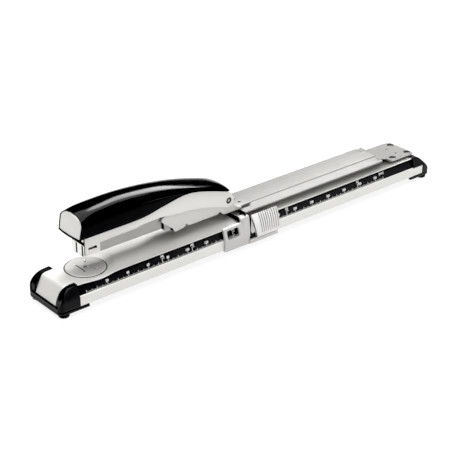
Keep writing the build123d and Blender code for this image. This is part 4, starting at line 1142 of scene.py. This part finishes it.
# ledge below the grip with a fine toothed edge, spring tab in front of it, and the far shell
lg = prism("l", fil([(-21.65, 4.6, 0.2), (-21.65, 5.86, 0.1), (-23.45, 5.9, 0.2), (-23.45, 8.1, 0.2), (-26.2, 8.1, 0.35), (-26.2, 4.6, 0.5)], segs=3), "yz", 163.6, 195.0)
teeth = [prism("t", [(173.0 + 1.5 * k, -27), (173.75 + 1.5 * k, -27), (173.75 + 1.5 * k, -25.75), (173.0 + 1.5 * k, -25.75)], "xy", 7.3, 9) for k in range(13)]
cut(lg, *teeth)
bevel(lg, 0.15, 1, angle=50)
far = prism("f", fil([(25.0, 4.6, 0.4), (26.15, 7.6, 1.5), (26.1, 13.0, 3.0), (23.8, 22.4, 3.0), (21.4, 27.7, 0.5), (20.2, 27.6, 0.4), (20.5, 24.0, 1.0), (23.45, 14.5, 0.5), (23.45, 5.9, 0.2), (21.65, 5.86, 0.1), (21.65, 4.6, 0.2)], segs=4), "yz", 166.5, 197.5)
bevel(far, 0.35, 2, angle=50)
body2 = join("stop_ledge_and_far_shell", [lg, far])
done(body2, "splastic", "paper_stop", [], angle=35)
tab_pts = [(168.9, 24.6), (170.6, 16.0), (170.6, 13.6), (166.8, 13.2), (165.8, 15.4)]
tab = prism("stop_spring_tab", tab_pts, "xz", -0.6, 0.0)
for v in tab.data.vertices:
    z = v.co.z * 1000
    y0 = -(25.0 - max(0.0, (z - 14.0)) * 0.32) - 0.05
    v.co.y = (y0 + (0.0 if v.co.y < -0.0003 else 0.6)) / 1000.0
bevel(tab, 0.15, 2)
done(tab, "splastic", "paper_stop", [])
# black sheet behind the slit between arch and grip: painted shade in the slit
slit = prism("stop_slit_painted_shade", [(163.6, 8.2), (172.0, 8.2), (170.6, 16.0), (168.95, 24.5), (168.95, 27.6), (166.4, 27.6), (164.6, 18.0)], "xz", -0.5, 0.0)
for v in slit.data.vertices:
    z = v.co.z * 1000
    y0 = -(24.0 - max(0.0, (z - 14.0)) * 0.30)
    v.co.y = (y0 + (0.0 if v.co.y < -0.0003 else 0.5)) / 1000.0
done(slit, "black", "paper_stop", [])

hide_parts("base_cover")
# --------------------------------------------------------------- camera, floor, light
cam_d = bpy.data.cameras.new("cam")
cam = bpy.data.objects.new("cam", cam_d)
SC.collection.objects.link(cam)
SC.camera = cam
cam_d.lens, cam_d.sensor_width, cam_d.sensor_fit = 99.30, 36.0, "HORIZONTAL"
cam_d.clip_start, cam_d.clip_end = 0.01, 20.0
a, e, r = math.radians(40.167), math.radians(26.884), math.radians(0.094)
Rv = Vector((math.cos(a), -math.sin(a), 0))
Fv = Vector((math.sin(a) * math.cos(e), math.cos(a) * math.cos(e), -math.sin(e)))
Uv = Vector((math.sin(a) * math.sin(e), math.cos(a) * math.sin(e), math.cos(e)))
R2 = math.cos(r) * Rv + math.sin(r) * Uv
U2 = -math.sin(r) * Rv + math.cos(r) * Uv
cm = Matrix((R2, U2, -Fv)).transposed().to_4x4()
cm.translation = Vector((-0.64718, -0.74138, 0.50107))
cam.matrix_world = cm

fm, fnt, fb = new_mat("floor_white")
ftc = fnt.nodes.new("ShaderNodeTexCoord")
fn = fnt.nodes.new("ShaderNodeTexNoise")
fn.inputs["Scale"].default_value = 8.0
fr = fnt.nodes.new("ShaderNodeMapRange")
fr.inputs["To Min"].default_value, fr.inputs["To Max"].default_value = 0.85, 0.95
fnt.links.new(ftc.outputs["Object"], fn.inputs["Vector"])
fnt.links.new(fn.outputs[0], fr.inputs["Value"])
fnt.links.new(fr.outputs[0], fb.inputs["Roughness"])
fb.inputs["Base Color"].default_value = (0.17, 0.17, 0.17, 1)
fb.inputs["Specular IOR Level"].default_value = 0.1
fb.inputs["Emission Color"].default_value = (1, 1, 1, 1)
fb.inputs["Emission Strength"].default_value = 0.86
me = bpy.data.meshes.new("floor")
bm = bmesh.new()
bmesh.ops.create_grid(bm, x_segments=2, y_segments=2, size=6.0)
bm.to_mesh(me)
bm.free()
floor = bpy.data.objects.new("floor", me)
SC.collection.objects.link(floor)
me.materials.append(fm)
floor.location = (0, 0, -0.0004)

w = bpy.data.worlds.new("studio")
SC.world = w
w.use_nodes = True
w.node_tree.nodes["Background"].inputs[0].default_value = (1, 1, 1, 1)
w.node_tree.nodes["Background"].inputs[1].default_value = 0.10


def area(name, loc, target, size, power, size_y=None, col=(1, 1, 1)):
    d = bpy.data.lights.new(name, "AREA")
    d.energy = power
    d.color = col
    d.shape = "RECTANGLE"
    d.size = size
    d.size_y = size_y or size
    o = bpy.data.objects.new(name, d)
    SC.collection.objects.link(o)
    o.location = loc
    o.rotation_euler = (Vector(target) - Vector(loc)).to_track_quat("-Z", "Y").to_euler()
    return o


# a long strip softbox high at the back right (its glint runs along the handle), a wide dim one overhead,
# and a weak fill from the front
STRIP = Vector((0.522, 0.326, 0.788)).normalized() * 1.6
along = (Vector((0, 0, 1)) - Vector((0, 0, 1)).dot(STRIP.normalized()) * STRIP.normalized()).normalized()
strip = area("strip", STRIP, (0, 0, 0), 0.45, 25.0, 1.10)
zax = STRIP.normalized()
xax = along.cross(zax).normalized()
strip.matrix_world = Matrix((xax, along, zax)).transposed().to_4x4()
strip.matrix_world.translation = STRIP
area("overhead", (-0.1, 0.1, 1.9), (0, 0, 0), 2.2, 56.0, 2.2)
area("fill", (-0.95, -1.25, 1.35), (0, 0, 0.04), 1.8, 14.0, 1.8)
area("edge", (0.93, -1.30, 0.24), (0, 0, 0.05), 0.45, 1.8, 0.28)
VS = SC.view_settings
VS.view_transform = "Standard"
VS.look = "None"
VS.exposure = 0.0
VS.gamma = 1.0
VS.use_curve_mapping = True
VS.curve_mapping.black_level = (0.027, 0.027, 0.027)
VS.curve_mapping.update()
